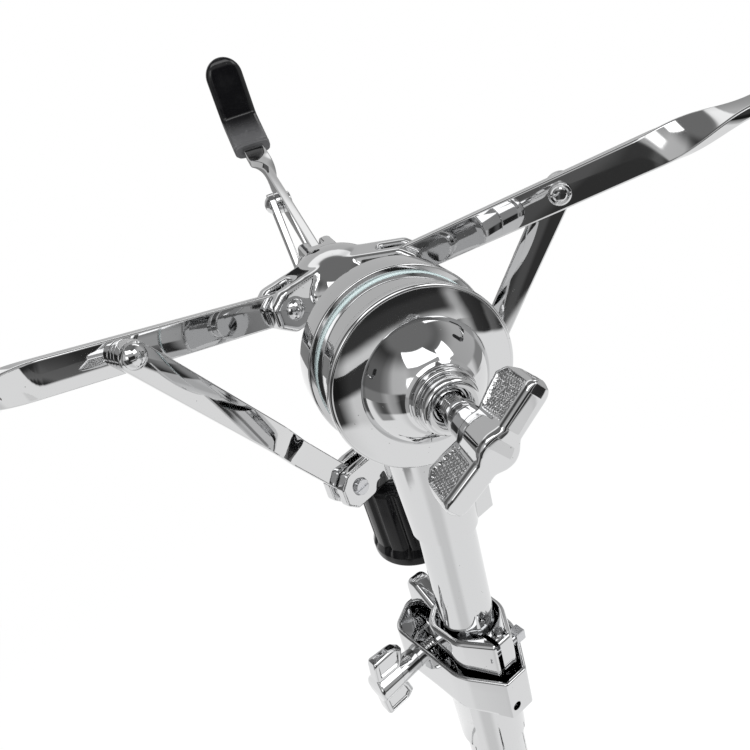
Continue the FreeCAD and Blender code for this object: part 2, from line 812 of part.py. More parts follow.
# Basket hub: a domed casting with three clevises, screwed on the shaft that turns in the sleeve
hub_radius = size("hub_radius")
ear_height = size("ear_height")
ear_gap = size("strip_thickness") + clear * 2
ear_outside = ear_gap + size("ear_thickness") * 2
pivot_radius = size("arm_pivot_radius")
pin_radius = size("pivot_pin_radius")
crown = size("hub_crown")
dome_arc = crown_radius(hub_radius, crown)
hub_dome = revolved((
    (0, -ear_height / 2),
    (hub_radius * 0.48, -ear_height / 2),
    (hub_radius * 0.86, -ear_height * 0.24),
    (hub_radius, -edge),
    (hub_radius, edge),
    (0, crown + edge, dome_arc),
))
hub_ears = []
hub_cuts = [cylinder(shaft_radius + tiny, crown * 0.75 + ear_height / 2, at(z=-ear_height / 2))]
for turn in range(3):
    spoke = at(axis=Z_AXIS, angle=120 * turn)
    ear = rounded(padded("XZ_Plane", (
        (hub_radius * 0.4, -ear_height * 0.45),
        (pivot_radius * 1.07, -ear_height / 2),
        (size("ear_reach"), -ear_height * 0.22),
        (size("ear_reach"), ear_height * 0.22),
        (pivot_radius * 1.1, ear_height * 0.46),
        (hub_radius * 0.4, ear_height * 0.5),
    ), ear_outside), edge * 2, lambda line: line.BoundBox.YLength < 0.01)
    ear.Placement = spoke
    hub_ears.append(ear)
    slot_in = pivot_radius - size("strip_width") / 2 - over
    slot = box(size("ear_reach"), ear_gap, ear_height * 2, spoke * at(x=slot_in, z=-ear_height))
    hub_cuts.append(slot)
    pin_line = spoke * at(x=pivot_radius, y=-ear_outside) * along_y
    hub_cuts.append(cylinder(pin_radius + tiny, ear_outside * 2, pin_line))
hub = minus(fused(hub_dome, *hub_ears), *hub_cuts)
hub_turn = at(axis=Z_AXIS, angle=size("basket_heading"))
keep("basket_hub", hub, basket_frame * hub_turn)
pivot_pins = []
for turn in range(3):
    rivet = pin(pin_radius, ear_outside, size("rivet_head_radius"), size("rivet_head_height"),
                size("pin_tail"))
    rivet.Placement = at(axis=Z_AXIS, angle=120 * turn) * at(x=pivot_radius) * along_y
    pivot_pins.append(rivet)
keep("hub_pivot_rivets", grouped(*pivot_pins), basket_frame * hub_turn)
shaft = cylinder(shaft_radius, size("shaft_length"))
shaft_head = crown * 0.67
keep("basket_shaft", shaft, basket_frame * at(z=shaft_head - size("shaft_length")))


# Basket arms: a flat strip on edge that twists flat towards its seat and turns up at the tip
strip_width = size("strip_width")
strip_thickness = size("strip_thickness")
bend_radius = number(size("bend_radius"))
bend_steps = 5
twist_steps = 8


def arm_stations():
    """Stations along the arm: (distance out, height, pitch in degrees, roll in degrees)."""
    stations = [(0.0, 0.0, 0.0, 0.0)]
    begin = number(size("twist_start"))
    length = number(size("twist_length"))
    for step in range(twist_steps + 1):
        part = step / twist_steps
        stations.append((begin + length * part, 0.0, 0.0, -90.0 * part * part * (3 - 2 * part)))
    out, height, pitch = number(size("seat_start")), 0.0, 0.0
    stations.append((out, height, pitch, -90.0))
    for bend, run in (("seat_bend", "seat_length"), ("tip_bend", "tip_length")):
        turn = math.radians(number(size(bend))) / bend_steps
        chord = 2 * bend_radius * math.sin(turn / 2)
        for step in range(bend_steps):
            heading = math.radians(pitch) + turn / 2
            out += chord * math.cos(heading)
            height += chord * math.sin(heading)
            pitch += math.degrees(turn)
            stations.append((out, height, pitch, -90.0))
        out += number(size(run)) * math.cos(math.radians(pitch))
        height += number(size(run)) * math.sin(math.radians(pitch))
        stations.append((out, height, pitch, -90.0))
    return stations


def section(station, width, thickness, chamfer=0.0):
    """A flat section across the arm, its width upright where the roll is zero."""
    out, height, pitch, roll = station
    place = at(x=out, z=height, axis=Y_AXIS, angle=-pitch) * at(axis=X_AXIS, angle=roll)
    high = width / 2
    wide = thickness / 2
    corners = [(-wide, -high), (wide, -high), (wide, high), (-wide, high)]
    if chamfer:
        corners = [(-wide, -high + chamfer), (-wide + chamfer, -high), (wide - chamfer, -high),
                   (wide, -high + chamfer), (wide, high - chamfer), (wide - chamfer, high),
                   (-wide + chamfer, high), (-wide, high - chamfer)]
    points = [place.multVec(Vector(0, across, up)) for across, up in corners]
    return Part.makePolygon(points + points[:1])


def lofted(wires):
    item = doc.addObject("Part::Feature", "lofted")
    item.Shape = Part.makeLoft(wires, True, True)
    return item


stations = arm_stations()
tip_radius = number(strip_width) / 2
arm_strip = lofted([section(entry, number(strip_width), number(strip_thickness)) for entry in stations])
boot_wall = number(size("boot_wall"))
boot_width = number(size("boot_width"))
boot_edge = number(size("boot_edge"))
boot_depth = number(strip_thickness) + 2 * boot_wall
seat_first = [index for index, entry in enumerate(stations) if entry[0] >= number(size("seat_start"))][0]
mouth = (stations[seat_first][0] - number(size("boot_mouth")), 0.0, 0.0, -90.0)
tip = stations[-1]
boot_wires = [section(mouth, boot_width, boot_depth, boot_edge)]
for entry in stations[seat_first:-1]:
    boot_wires.append(section(entry, boot_width, boot_depth, boot_edge))
slope = math.radians(tip[2])
for part in (0.0, 0.35, 0.65, 0.88, 1.0):
    ahead = boot_width / 2 * part - tip_radius
    spot = (tip[0] + ahead * math.cos(slope), tip[1] + ahead * math.sin(slope), tip[2], -90.0)
    narrow = max(math.sqrt(1 - part * part), 0.3)
    boot_wires.append(section(spot, boot_width * narrow, boot_depth * (1 - 0.35 * part * part), boot_edge))
arm_frames = []
rise = size("arm_rise")
rivet_at = size("arm_rivet_at")
rivet_radius = size("link_rivet_radius")
link_centre = strip_thickness / 2 + size("link_spacer") + size("link_thickness") / 2
for index, heading in enumerate(arm_headings, start=1):
    frame = basket_frame * at(axis=Z_AXIS, angle=heading) * at(x=pivot_radius, axis=Y_AXIS, angle=-rise)
    arm_frames.append(frame)
    eye = cylinder(strip_width / 2, strip_thickness, at(y=-strip_thickness / 2) * along_y)
    tip_trim = minus(
        box(tip_radius + number(over), strip_width + over * 2, strip_thickness * 4,
            at(z=-strip_thickness * 2)),
        cylinder(tip_radius, strip_thickness * 6, at(z=-strip_thickness * 3)),
    )
    tip_trim.Placement = at(x=tip[0], z=tip[1], axis=Y_AXIS, angle=-tip[2]) * at(x=-tip_radius)
    strip = lofted([section(entry, number(strip_width), number(strip_thickness)) for entry in stations])
    arm = minus(
        fused(strip, eye),
        tip_trim,
        cylinder(pin_radius + running, through, at(y=-through / 2) * along_y),
        cylinder(rivet_radius + tiny, through, at(x=rivet_at, y=-through / 2) * along_y),
    )
    keep("basket_arm_%d" % index, arm, frame)
    boot = minus(lofted(boot_wires), arm_strip)
    keep("arm_boot_%d" % index, boot, frame)
    head = size("rivet_head_radius")
    rivet = revolved((
        (0, -strip_thickness / 2 - size("pin_head_height")),
        (head * 0.92, -strip_thickness / 2 - size("pin_head_height")),
        (head * 0.92, -strip_thickness / 2),
        (rivet_radius, -strip_thickness / 2),
        (rivet_radius, strip_thickness / 2),
        (head + over, strip_thickness / 2),
        (head + over, link_centre - size("link_thickness") / 2 - tiny),
        (rivet_radius, link_centre - size("link_thickness") / 2 - tiny),
        (rivet_radius, link_centre + size("link_thickness") / 2 + tiny),
        (head, link_centre + size("link_thickness") / 2 + tiny),
        (0, link_centre + size("link_thickness") / 2 + tiny + size("rivet_head_height"),
         crown_radius(head, size("rivet_head_height"))),
    ))
    keep("link_rivet_%d" % index, rivet, frame * at(x=rivet_at) * along_y)


# Links: strips from the arms down to the collar, cranked sideways to enter the collar's clevises
rise_angle = math.radians(number(rise))
rivet_out = number(pivot_radius) + number(rivet_at) * math.cos(rise_angle)
rivet_up = number(rivet_at) * math.sin(rise_angle)
link_run = number(size("collar_pivot_radius")) - rivet_out
link_fall = rivet_up + number(size("collar_drop"))
link_length = math.hypot(link_run, link_fall)
link_angle = math.degrees(math.atan2(link_fall, link_run))
link_half = size("link_thickness") / 2
link_width = size("link_width")
eye_radius = size("link_eye_radius")
crank_begin = link_length * number(size("link_crank_begin"))
crank_end = link_length * number(size("link_crank_end"))
screw_radius = size("screw_radius")
for index, heading in enumerate(arm_headings, start=1):
    band = padded("XY_Plane", (
        (-link_width, -link_half),
        (crank_begin, -link_half),
        (crank_end, -link_centre - link_half),
        (link_length + eye_radius * 2, -link_centre - link_half),
        (link_length + eye_radius * 2, -link_centre + link_half),
        (crank_end, -link_centre + link_half),
        (crank_begin, link_half),
        (-link_width, link_half),
    ), eye_radius * 3)
    side = padded("XZ_Plane", (
        (link_length - eye_radius, -link_width / 2),
        (link_length, -eye_radius),
        (link_length + eye_radius, 0, eye_radius),
        (link_length, eye_radius, eye_radius),
        (link_length - eye_radius, link_width / 2),
        (0, link_width / 2),
        (-link_width / 2, 0, link_width / 2),
        (0, -link_width / 2, link_width / 2),
    ), link_centre * 8)
    link = minus(
        shared(band, side),
        cylinder(rivet_radius + running, through, at(y=-through / 2) * along_y),
        cylinder(screw_radius + size("open_pivot_clearance"), through,
                 at(x=link_length, y=-through / 2) * along_y),
    )
    frame = basket_frame * at(axis=Z_AXIS, angle=heading) * at(x=rivet_out, y=link_centre, z=rivet_up)
    keep("arm_link_%d" % index, link, frame * at(axis=Y_AXIS, angle=link_angle))


# Lower collar: slides on the shaft and carries the links in three clevises
collar_pivot = size("collar_pivot_radius")
collar_height = size("collar_height")
clevis_gap = size("link_thickness") + clear * 2
clevis_width = clevis_gap + size("clevis_ear") * 2
clevis_reach = size("clevis_reach")
collar_parts = [cylinder(size("collar_radius"), collar_height, at(z=-collar_height / 2))]
collar_cuts = [cylinder(shaft_radius + running, through, at(z=-through / 2))]
clevis_corner = size("clevis_corner")
screw_head = size("screw_head_radius")
screw_tall = size("screw_head_height")
screw_slot = size("screw_slot")
collar_screws = []
for turn in range(3):
    spoke = at(axis=Z_AXIS, angle=120 * turn)
    clevis = padded("XZ_Plane", (
        (size("collar_radius") * 0.5, -collar_height / 2),
        (clevis_reach - clevis_corner, -collar_height / 2),
        (clevis_reach, clevis_corner - collar_height / 2),
        (clevis_reach, collar_height / 2 - clevis_corner),
        (clevis_reach - clevis_corner, collar_height / 2),
        (size("collar_radius") * 0.5, collar_height / 2),
    ), clevis_width)
    clevis.Placement = spoke
    collar_parts.append(clevis)
    slot_in = collar_pivot - eye_radius - size("open_pivot_clearance") - over
    collar_cuts.append(box(clevis_reach, clevis_gap, through, spoke * at(x=slot_in, z=-through / 2)))
    screw_line = spoke * at(x=collar_pivot) * along_y
    face = clevis_width / 2
    collar_cuts.append(cylinder(screw_radius + tiny, through, screw_line * at(z=-through / 2)))
    shank = cylinder(screw_radius, clevis_width + screw_tall, screw_line * at(z=-face - screw_tall))
    head = cone(screw_head, screw_head * 0.86, screw_tall, screw_line * at(z=face))
    slot_line = screw_line * at(x=-screw_head * 1.5, z=face + screw_slot)
    slot = box(screw_head * 3, screw_slot, screw_tall, slot_line)
    tail = cylinder(screw_head * 0.86, screw_tall, screw_line * at(z=-face - screw_tall))
    collar_screws.append(minus(fused(shank, head, tail), slot))
collar_frame = basket_frame * hub_turn * at(z=-size("collar_drop"))
keep("lower_collar", minus(fused(*collar_parts), *collar_cuts), collar_frame)
keep("collar_screws", grouped(*collar_screws), collar_frame)


# Basket nut: a fluted black knob with a threaded insert, under a thrust washer
washer = size("washer_thickness")
nut_length = size("nut_length")
nut_radius = size("nut_radius")
nut_skirt = size("nut_skirt")
nut_round = size("nut_round")
nut_top = -size("collar_drop") - collar_height / 2 - washer - clear
thrust_washer = minus(
    cylinder(size("collar_radius"), washer),
    cylinder(shaft_radius + running, washer + over * 2, at(z=-over)),
)
keep("thrust_washer", thrust_washer, basket_frame * at(z=nut_top + clear / 2))
knob = revolved((
    (size("insert_radius") + tiny, 0),
    (nut_radius - nut_round, 0),
    (nut_radius, -nut_round),
    (nut_radius, nut_skirt - nut_length),
    (nut_radius + size("nut_flare"), nut_skirt * 0.6 - nut_length),
    (nut_radius + size("nut_flare"), nut_round - nut_length),
    (nut_radius + size("nut_flare") - nut_round, -nut_length),
    (size("insert_radius") + tiny, -nut_length),
))
flutes = []
flute_count = int(number(size("flute_count")))
for turn in range(flute_count):
    groove_axis = at(axis=Z_AXIS, angle=360 * turn / flute_count)
    groove_axis = groove_axis * at(x=nut_radius + size("flute_radius") * 0.72, z=nut_skirt - nut_length)
    flutes.append(cylinder(size("flute_radius"), nut_length, groove_axis))
keep("basket_nut", minus(knob, *flutes), basket_frame * at(z=nut_top))
nut_insert = minus(
    cylinder(size("insert_radius"), nut_length - nut_skirt / 2, at(z=nut_skirt / 2 - nut_length)),
    cylinder(shaft_radius + running, through * 2, at(z=-through)),
)
keep("nut_insert", nut_insert, basket_frame * at(z=nut_top))


# Tripod: channel legs hang from a sliding collar and are held out by braces from a fixed collar
leg_pivot = size("leg_pivot_radius")
leg_width = size("leg_width")
leg_wall = size("leg_wall")
leg_depth = size("leg_depth")
leg_eye = size("leg_eye_radius")
leg_pin = size("leg_pin_radius")
web_inside = leg_eye + edge
flange_low = web_inside + leg_wall - leg_depth
brace_gap = size("brace_thickness") + clear * 2
ring_wall = size("leg_collar_radius")
leg_ring_height = size("leg_collar_height")
lug_width = leg_width - leg_wall * 2 - clear * 2
leg_pins = []
collar_lugs = [cylinder(ring_wall, leg_ring_height, at(z=-leg_ring_height / 2))]
leg_collar_cuts = [cylinder(post_radius + clear, through, at(z=-through / 2))]
fixed_ears = [cylinder(ring_wall, leg_ring_height, at(z=-leg_ring_height / 2))]
fixed_cuts = [cylinder(post_radius + tiny, through, at(z=-through / 2))]
fixed_pins = []
ear_width = brace_gap + leg_wall * 4
pin_sizes = (size("pin_head_radius"), size("pin_head_height"), size("pin_tail"))
foot_length = size("foot_length")
foot_wall = size("foot_wall")
for index, heading in enumerate(leg_headings, start=1):
    spoke = at(axis=Z_AXIS, angle=heading)
    top_frame = spoke * at(x=leg_pivot, z=leg_top) * at(axis=Y_AXIS, angle=90 - spread)
    channel = padded("YZ_Plane", (
        (-leg_width / 2, flange_low),
        (-leg_width / 2, web_inside + leg_wall),
        (leg_width / 2, web_inside + leg_wall),
        (leg_width / 2, flange_low),
        (leg_width / 2 - leg_wall, flange_low),
        (leg_width / 2 - leg_wall, web_inside),
        (-leg_width / 2 + leg_wall, web_inside),
        (-leg_width / 2 + leg_wall, flange_low),
    ), leg_length + leg_eye, both_sides=False)
    channel.Placement = at(x=-leg_eye)
    leg = minus(
        channel,
        cylinder(leg_pin + running, through, at(y=-through / 2) * along_y),
        cylinder(leg_pin + tiny, through, at(x=brace_length, y=-through / 2) * along_y),
    )
    keep("leg_%d" % index, leg, top_frame)
    joint_pin = pin(leg_pin, leg_width, *pin_sizes)
    keep("brace_pin_%d" % index, joint_pin, top_frame * at(x=brace_length) * along_y)

    # The rubber foot is flat underneath where it stands on the floor
    foot_out = leg_length - foot_length * 0.55
    foot_block = box(foot_length, leg_width + foot_wall * 2, leg_depth + foot_wall * 2.6,
                     at(x=foot_out, z=flange_low - foot_wall * 1.6))
    foot_reach = leg_pivot + leg_length * sideways
    floor = spoke * at(x=foot_reach - foot_length * 2, z=-foot_length)
    foot = minus(
        rounded(foot_block, foot_wall, lambda line: True),
        box(leg_length - foot_out, leg_width, leg_depth, at(x=foot_out, z=flange_low)),
        box(foot_length * 4, foot_length * 4, foot_length, top_frame.inverse() * floor),
    )
    keep("foot_%d" % index, foot, top_frame)

    half = leg_eye - clear / 2
    bar = padded("XZ_Plane", (
        (brace_length, -half),
        (brace_length + half, 0, half),
        (brace_length, half, half),
        (0, half),
        (-half, 0, half),
        (0, -half, half),
    ), size("brace_thickness"))
    brace = minus(
        bar,
        cylinder(leg_pin + running, through, at(y=-through / 2) * along_y),
        cylinder(leg_pin + running, through, at(x=brace_length, y=-through / 2) * along_y),
    )
    keep("brace_%d" % index, brace, spoke * at(x=leg_pivot, z=brace_height, axis=Y_AXIS, angle=spread - 90))

    lug = padded("XZ_Plane", (
        (post_radius + edge * 2, -leg_ring_height / 2),
        (leg_pivot, -leg_eye),
        (leg_pivot + leg_eye, 0, leg_eye),
        (leg_pivot, leg_eye, leg_eye),
        (post_radius + edge * 2, leg_ring_height / 2),
    ), lug_width)
    lug.Placement = spoke
    collar_lugs.append(lug)
    hinge_line = spoke * at(x=leg_pivot, y=-through / 2) * along_y
    leg_collar_cuts.append(cylinder(leg_pin + tiny, through, hinge_line))
    hinge = pin(leg_pin, leg_width + clear, *pin_sizes)
    hinge.Placement = spoke * at(x=leg_pivot) * along_y
    leg_pins.append(hinge)
    ear = padded("XZ_Plane", (
        (post_radius + edge * 2, -leg_ring_height / 2),
        (leg_pivot, -leg_eye),
        (leg_pivot + leg_eye, 0, leg_eye),
        (leg_pivot, leg_eye, leg_eye),
        (post_radius + edge * 2, leg_ring_height / 2),
    ), ear_width)
    ear.Placement = spoke
    fixed_ears.append(ear)
    gap_from = leg_pivot - leg_eye - edge
    fixed_cuts.append(box(through, brace_gap, through, spoke * at(x=gap_from, z=-through / 2)))
    fixed_cuts.append(cylinder(leg_pin + tiny, through, hinge_line))
    fixed_pin = pin(leg_pin, ear_width, *pin_sizes)
    fixed_pin.Placement = spoke * at(x=leg_pivot) * along_y
    fixed_pins.append(fixed_pin)

screw_spoke = at(axis=Z_AXIS, angle=size("screw_heading")) * at(x=post_radius, axis=Y_AXIS, angle=90)
boss_height = size("boss_height")
leg_collar_cuts.append(cylinder(bolt_bore, through, screw_spoke))
boss = cylinder(size("collar_boss_radius"), boss_height, screw_spoke * at(z=over))
keep("leg_collar", minus(fused(*collar_lugs, boss), *leg_collar_cuts), at(z=leg_top))
keep("leg_top_pins", grouped(*leg_pins), at(z=leg_top))
leg_screw = wing_bolt(size("clamp_bolt_radius"), boss_height, size("clamp_barrel_radius"),
                      size("clamp_wing_chord") + size("clamp_wing_stand"), size("clamp_wing_span"),
                      size("clamp_wing_chord"), size("clamp_wing_thickness"))
keep("leg_collar_screw", leg_screw, at(z=leg_top) * screw_spoke * at(z=boss_height + over + clear))
keep("brace_collar", minus(fused(*fixed_ears), *fixed_cuts), at(z=brace_height))
keep("brace_collar_pins", grouped(*fixed_pins), at(z=brace_height))


# Every object is checked before anything is written
doc.recompute()
for item in doc.Objects:
    if "Invalid" in item.State or "Error" in item.State:
        raise RuntimeError("%s (%s) did not recompute" % (item.Name, item.Label))
for label, item in nodes.items():
    if item.Shape.isNull() or not item.Shape.isValid():
        raise RuntimeError("%s has no valid shape" % label)
os.makedirs("parts", exist_ok=True)
for label, item in nodes.items():
    item.Shape.exportStep("parts/%s.step" % label)
    print(label, len(item.Shape.Solids), round(item.Shape.Volume, 1))
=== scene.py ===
import math

import bmesh
import bpy
import numpy as np
from mathutils import Matrix


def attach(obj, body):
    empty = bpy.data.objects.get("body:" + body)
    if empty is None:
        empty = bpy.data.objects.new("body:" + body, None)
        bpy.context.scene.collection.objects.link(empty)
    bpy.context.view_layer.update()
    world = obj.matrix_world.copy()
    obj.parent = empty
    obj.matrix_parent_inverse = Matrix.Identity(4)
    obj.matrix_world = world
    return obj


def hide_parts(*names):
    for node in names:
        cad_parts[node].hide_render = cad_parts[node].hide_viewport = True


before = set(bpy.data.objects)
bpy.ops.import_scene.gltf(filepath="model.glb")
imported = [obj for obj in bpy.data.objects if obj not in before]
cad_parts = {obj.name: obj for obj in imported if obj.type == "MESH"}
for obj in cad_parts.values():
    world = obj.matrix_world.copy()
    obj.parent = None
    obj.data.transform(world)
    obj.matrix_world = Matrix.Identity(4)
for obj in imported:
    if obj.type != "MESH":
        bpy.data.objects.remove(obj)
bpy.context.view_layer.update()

scene = bpy.context.scene
scene.view_settings.view_transform = "Standard"


# Studio. A pale floor sheet under soft light, white all round for the eye. Polished metal mirrors a plain
# room instead: grey walls and ceiling, bright windows, a dark figure in front, dark space past the sheet.


class Signal:
    """A socket of a node tree. Arithmetic on it adds Math nodes; node() adds any other node."""

    def __init__(self, tree, socket=None):
        self.tree = tree
        self.socket = socket

    def node(self, kind, settings=None, inputs=None, output=0):
        """Adds a node: its settings first, then the values or links of its sockets."""
        made = self.tree.nodes.new(kind)
        for key, value in (settings or {}).items():
            if key == "stops":
                ramp = made.color_ramp
                while len(ramp.elements) < len(value):
                    ramp.elements.new(0.5)
                for element, (place, shade) in zip(ramp.elements, value):
                    element.position = place
                    element.color = (shade, shade, shade, 1.0)
            else:
                setattr(made, key, value)
        for key, value in (inputs or {}).items():
            if isinstance(value, Signal):
                self.tree.links.new(value.socket, made.inputs[key])
            else:
                made.inputs[key].default_value = value
        return Signal(self.tree, made.outputs[output] if made.outputs else None)

    def math(self, operation, first, second=0.0):
        return self.node("ShaderNodeMath", {"operation": operation}, {0: first, 1: second})

    def __add__(self, other):
        return self.math("ADD", self, other)

    def __radd__(self, other):
        return self.math("ADD", other, self)

    def __sub__(self, other):
        return self.math("SUBTRACT", self, other)

    def __rsub__(self, other):
        return self.math("SUBTRACT", other, self)

    def __mul__(self, other):
        return self.math("MULTIPLY", self, other)

    def __rmul__(self, other):
        return self.math("MULTIPLY", other, self)


def fresh_tree(block):
    """Empties the node tree of a new world or material and gives a Signal in it."""
    block.use_nodes = True
    block.node_tree.nodes.clear()
    return Signal(block.node_tree)


def part_of(vector, axis):
    """A vector's length along X, Y or Z (0, 1 or 2)."""
    return vector.node("ShaderNodeSeparateXYZ", inputs={0: vector}, output=axis)


def compass(vector):
    """Degrees round from the front, to the right, of a direction or a place."""
    return vector.math("ARCTAN2", part_of(vector, 0), -1.0 * part_of(vector, 1)) * (180.0 / math.pi)


def rising(value, low, high):
    """A smooth step from 0 at low to 1 at high."""
    return value.node("ShaderNodeMapRange", {"interpolation_type": "SMOOTHSTEP"},
                      {"Value": value, "From Min": low, "From Max": high})


def between(value, low, high, soft_edge):
    """1 from low to high and 0 outside, with soft edges."""
    return rising(value, low - soft_edge, low + soft_edge) * rising(value, high + soft_edge, high - soft_edge)


def tones(heading_degrees, pairs):
    """Grey by heading: straight runs between pairs of degrees round from the front and tone."""
    stops = [(degrees / 360.0 + 0.5, tone) for degrees, tone in pairs]
    share = heading_degrees * (1.0 / 360.0) + 0.5
    band = share.node("ShaderNodeValToRGB", {"stops": stops}, {"Fac": share})
    return band.node("ShaderNodeRGBToBW", inputs={0: band})


def beyond_paper(heading_degrees):
    """What metal mirrors past the edge of the floor sheet: dark in front, with pale gaps at the right."""
    return tones(heading_degrees, (
        (-180, 0.25), (-80, 0.25), (-70, 0.5), (-58, 0.4), (-50, 0.05), (-42, 0.07), (-39, 0.12), (-34, 0.12),
        (-31, 0.05), (-14, 0.05), (-6, 0.8), (28, 0.85), (32, 0.05), (38, 0.03), (39, 0.16), (43, 0.12),
        (44, 0.03), (50, 0.03), (51, 0.95), (54.5, 1.0), (55.2, 0.02), (59.5, 0.02), (60.5, 0.85), (76, 0.85),
        (88, 0.3), (180, 0.25)))


scene.world = bpy.data.worlds.new("studio")
air = fresh_tree(scene.world)
seen = air.node("ShaderNodeLightPath", output="Is Camera Ray")
mirrored = air.node("ShaderNodeLightPath", output="Is Glossy Ray")
through = air.node("ShaderNodeLightPath", output="Is Transmission Ray")
heading = air.node("ShaderNodeTexCoord", output="Generated")
around = compass(heading)
aside = air.math("ABSOLUTE", around)
raised = air.math("ARCSINE", part_of(heading, 2)) * (180.0 / math.pi)


def pane(left, right_side, low, high, soft_edge, lean=0.0):
    """A patch in directions: degrees round from the front and degrees up, leaning by lean."""
    level = around + lean * (raised - 0.5 * (low + high))
    return between(level, left, right_side, soft_edge) * between(raised, low, high, soft_edge)


plain_white = (1.0, 1.0, 1.0, 1.0)
ceiling_tone, figure_dark, window_power = 0.2, 0.94, 2.2
walls = tones(around, (
    (-180, 0.58), (-142, 0.58), (-130, 0.3), (-118, 0.14), (-80, 0.16), (-68, 0.3), (-58, 0.6), (-36, 0.64),
    (-26, 0.5), (20, 0.46), (34, 0.42), (60, 0.5), (110, 0.55), (126, 0.36), (140, 0.3), (152, 0.58),
    (180, 0.58)))
shaded = 1.0 - 0.72 * rising(raised, 26.0, 56.0) * rising(aside, 128.0, 112.0)
upper = rising(raised, 50.0, 66.0)
below = rising(raised, -1.0, -5.0)
tone = walls * shaded * (1.0 - upper) + ceiling_tone * upper
tone = tone * (1.0 - below) + beyond_paper(around) * below
tone = tone * (1.0 - figure_dark * pane(-18.0, 28.0, -13.0, 14.0, 3.0))
bright = pane(-40.0, 26.0, 36.0, 60.0, 1.2, 0.7) + pane(31.0, 60.0, 22.0, 45.0, 1.2, -0.3)
bright = bright + pane(-35.0, -19.0, 4.0, 20.0, 2.0) * 0.7 + pane(114.0, 122.0, 26.0, 60.0, 1.5)
bright = bright + 0.3 * rising(aside, 126.0, 138.0) * rising(raised, 37.0, 41.0) * rising(raised, 62.0, 56.0)
soft = air.node("ShaderNodeBackground", inputs={"Color": (0.62, 0.63, 0.65, 1.0), "Strength": 1.0})
metal_sees = air.node("ShaderNodeBackground", inputs={
    "Color": plain_white, "Strength": tone + window_power * bright})
white = air.node("ShaderNodeBackground", inputs={"Color": plain_white, "Strength": 1.0})
lit = air.node("ShaderNodeMixShader", inputs={0: mirrored + through, 1: soft, 2: metal_sees})
surround = air.node("ShaderNodeMixShader", inputs={0: seen, 1: lit, 2: white})
air.node("ShaderNodeOutputWorld", inputs={"Surface": surround})


def stood(made, x_way, y_way, z_way, place):
    """Gives a lamp or a camera its axes and its place."""
    matrix = np.eye(4)
    matrix[:3, 0], matrix[:3, 1], matrix[:3, 2], matrix[:3, 3] = x_way, y_way, z_way, place
    made.matrix_world = Matrix(matrix.tolist())


def unit(vector):
    return vector / np.linalg.norm(vector)


def lamp(name, place, target, size, power):
    """A rectangular soft box that faces a point and that no metal mirrors."""
    data = bpy.data.lights.new(name, "AREA")
    data.shape = "RECTANGLE"
    data.size, data.size_y = size
    data.energy = power
    holder = bpy.data.objects.new(name, data)
    scene.collection.objects.link(holder)
    back = unit(np.array(place) - np.array(target))
    side = unit(np.cross((0.0, 0.0, 1.0), back))
    stood(holder, side, np.cross(back, side), back, place)
    holder.visible_glossy = False


lamp("soft_box_left", (0.05, -1.15, 1.42), (0.0, 0.0, 0.55), (0.42, 0.36), 14.0)
lamp("soft_box_right", (0.62, -1.05, 1.40), (0.0, 0.0, 0.55), (0.34, 0.36), 11.0)
lamp("top_light", (-0.5, 0.5, 2.1), (0.0, 0.1, 0.4), (1.2, 1.2), 22.0)

floor_paint = bpy.data.materials.new("pale_floor")
ground = fresh_tree(floor_paint)
direct = ground.node("ShaderNodeLightPath", output="Is Camera Ray")
metal = ground.node("ShaderNodeLightPath", output="Is Glossy Ray")
metal = metal + ground.node("ShaderNodeLightPath", output="Is Transmission Ray")
spot = ground.node("ShaderNodeTexCoord", output="Object")
far_out = ground.node("ShaderNodeVectorMath", {"operation": "LENGTH"}, {0: spot}, output="Value")
floor_heading = compass(spot)
fade = 0.8 + 0.2 * rising(far_out, 0.25, 0.9)
paint = ground.node("ShaderNodeBsdfDiffuse", inputs={"Color": (0.86, 0.86, 0.86, 1.0)})
paper_right = 0.7 * rising(floor_heading, 27.0, 31.0)
in_front = rising(ground.math("ABSOLUTE", floor_heading), 100.0, 82.0)
past_edge = rising(far_out - paper_right, 0.78, 0.9) * in_front
facing = rising(floor_heading, -20.0, -12.0) * rising(floor_heading, 31.0, 25.0)
onlooker = facing * rising(far_out, 1.16, 1.3)
beyond = beyond_paper(floor_heading) * (1.0 - figure_dark * onlooker)
dim_front = rising(floor_heading, -64.0, -44.0) * rising(floor_heading, -4.0, -24.0)
dim_left = rising(floor_heading, -103.0, -95.0) * rising(floor_heading, -68.0, -78.0)
dim_left = dim_left * rising(far_out, 0.572, 0.625)
mirrored_floor = 1.0 - metal * past_edge * (1.0 - beyond)
mirrored_floor = mirrored_floor * (1.0 - metal * (0.2 * dim_front + 0.62 * dim_left))
glow = ground.node("ShaderNodeEmission", inputs={"Color": plain_white, "Strength": mirrored_floor})
floor_look = ground.node("ShaderNodeMixShader", inputs={0: direct * fade + metal, 1: paint, 2: glow})
ground.node("ShaderNodeOutputMaterial", inputs={"Surface": floor_look})
floor_half = 1.8
floor_corners = floor_half * np.array(((-1, -1, 0), (1, -1, 0), (1, 1, 0), (-1, 1, 0)))
sheet = bpy.data.meshes.new("floor")
sheet.from_pydata(floor_corners.tolist(), [], [(0, 1, 2, 3)])
sheet.materials.append(floor_paint)
card = bpy.data.objects.new("floor", sheet)
scene.collection.objects.link(card)


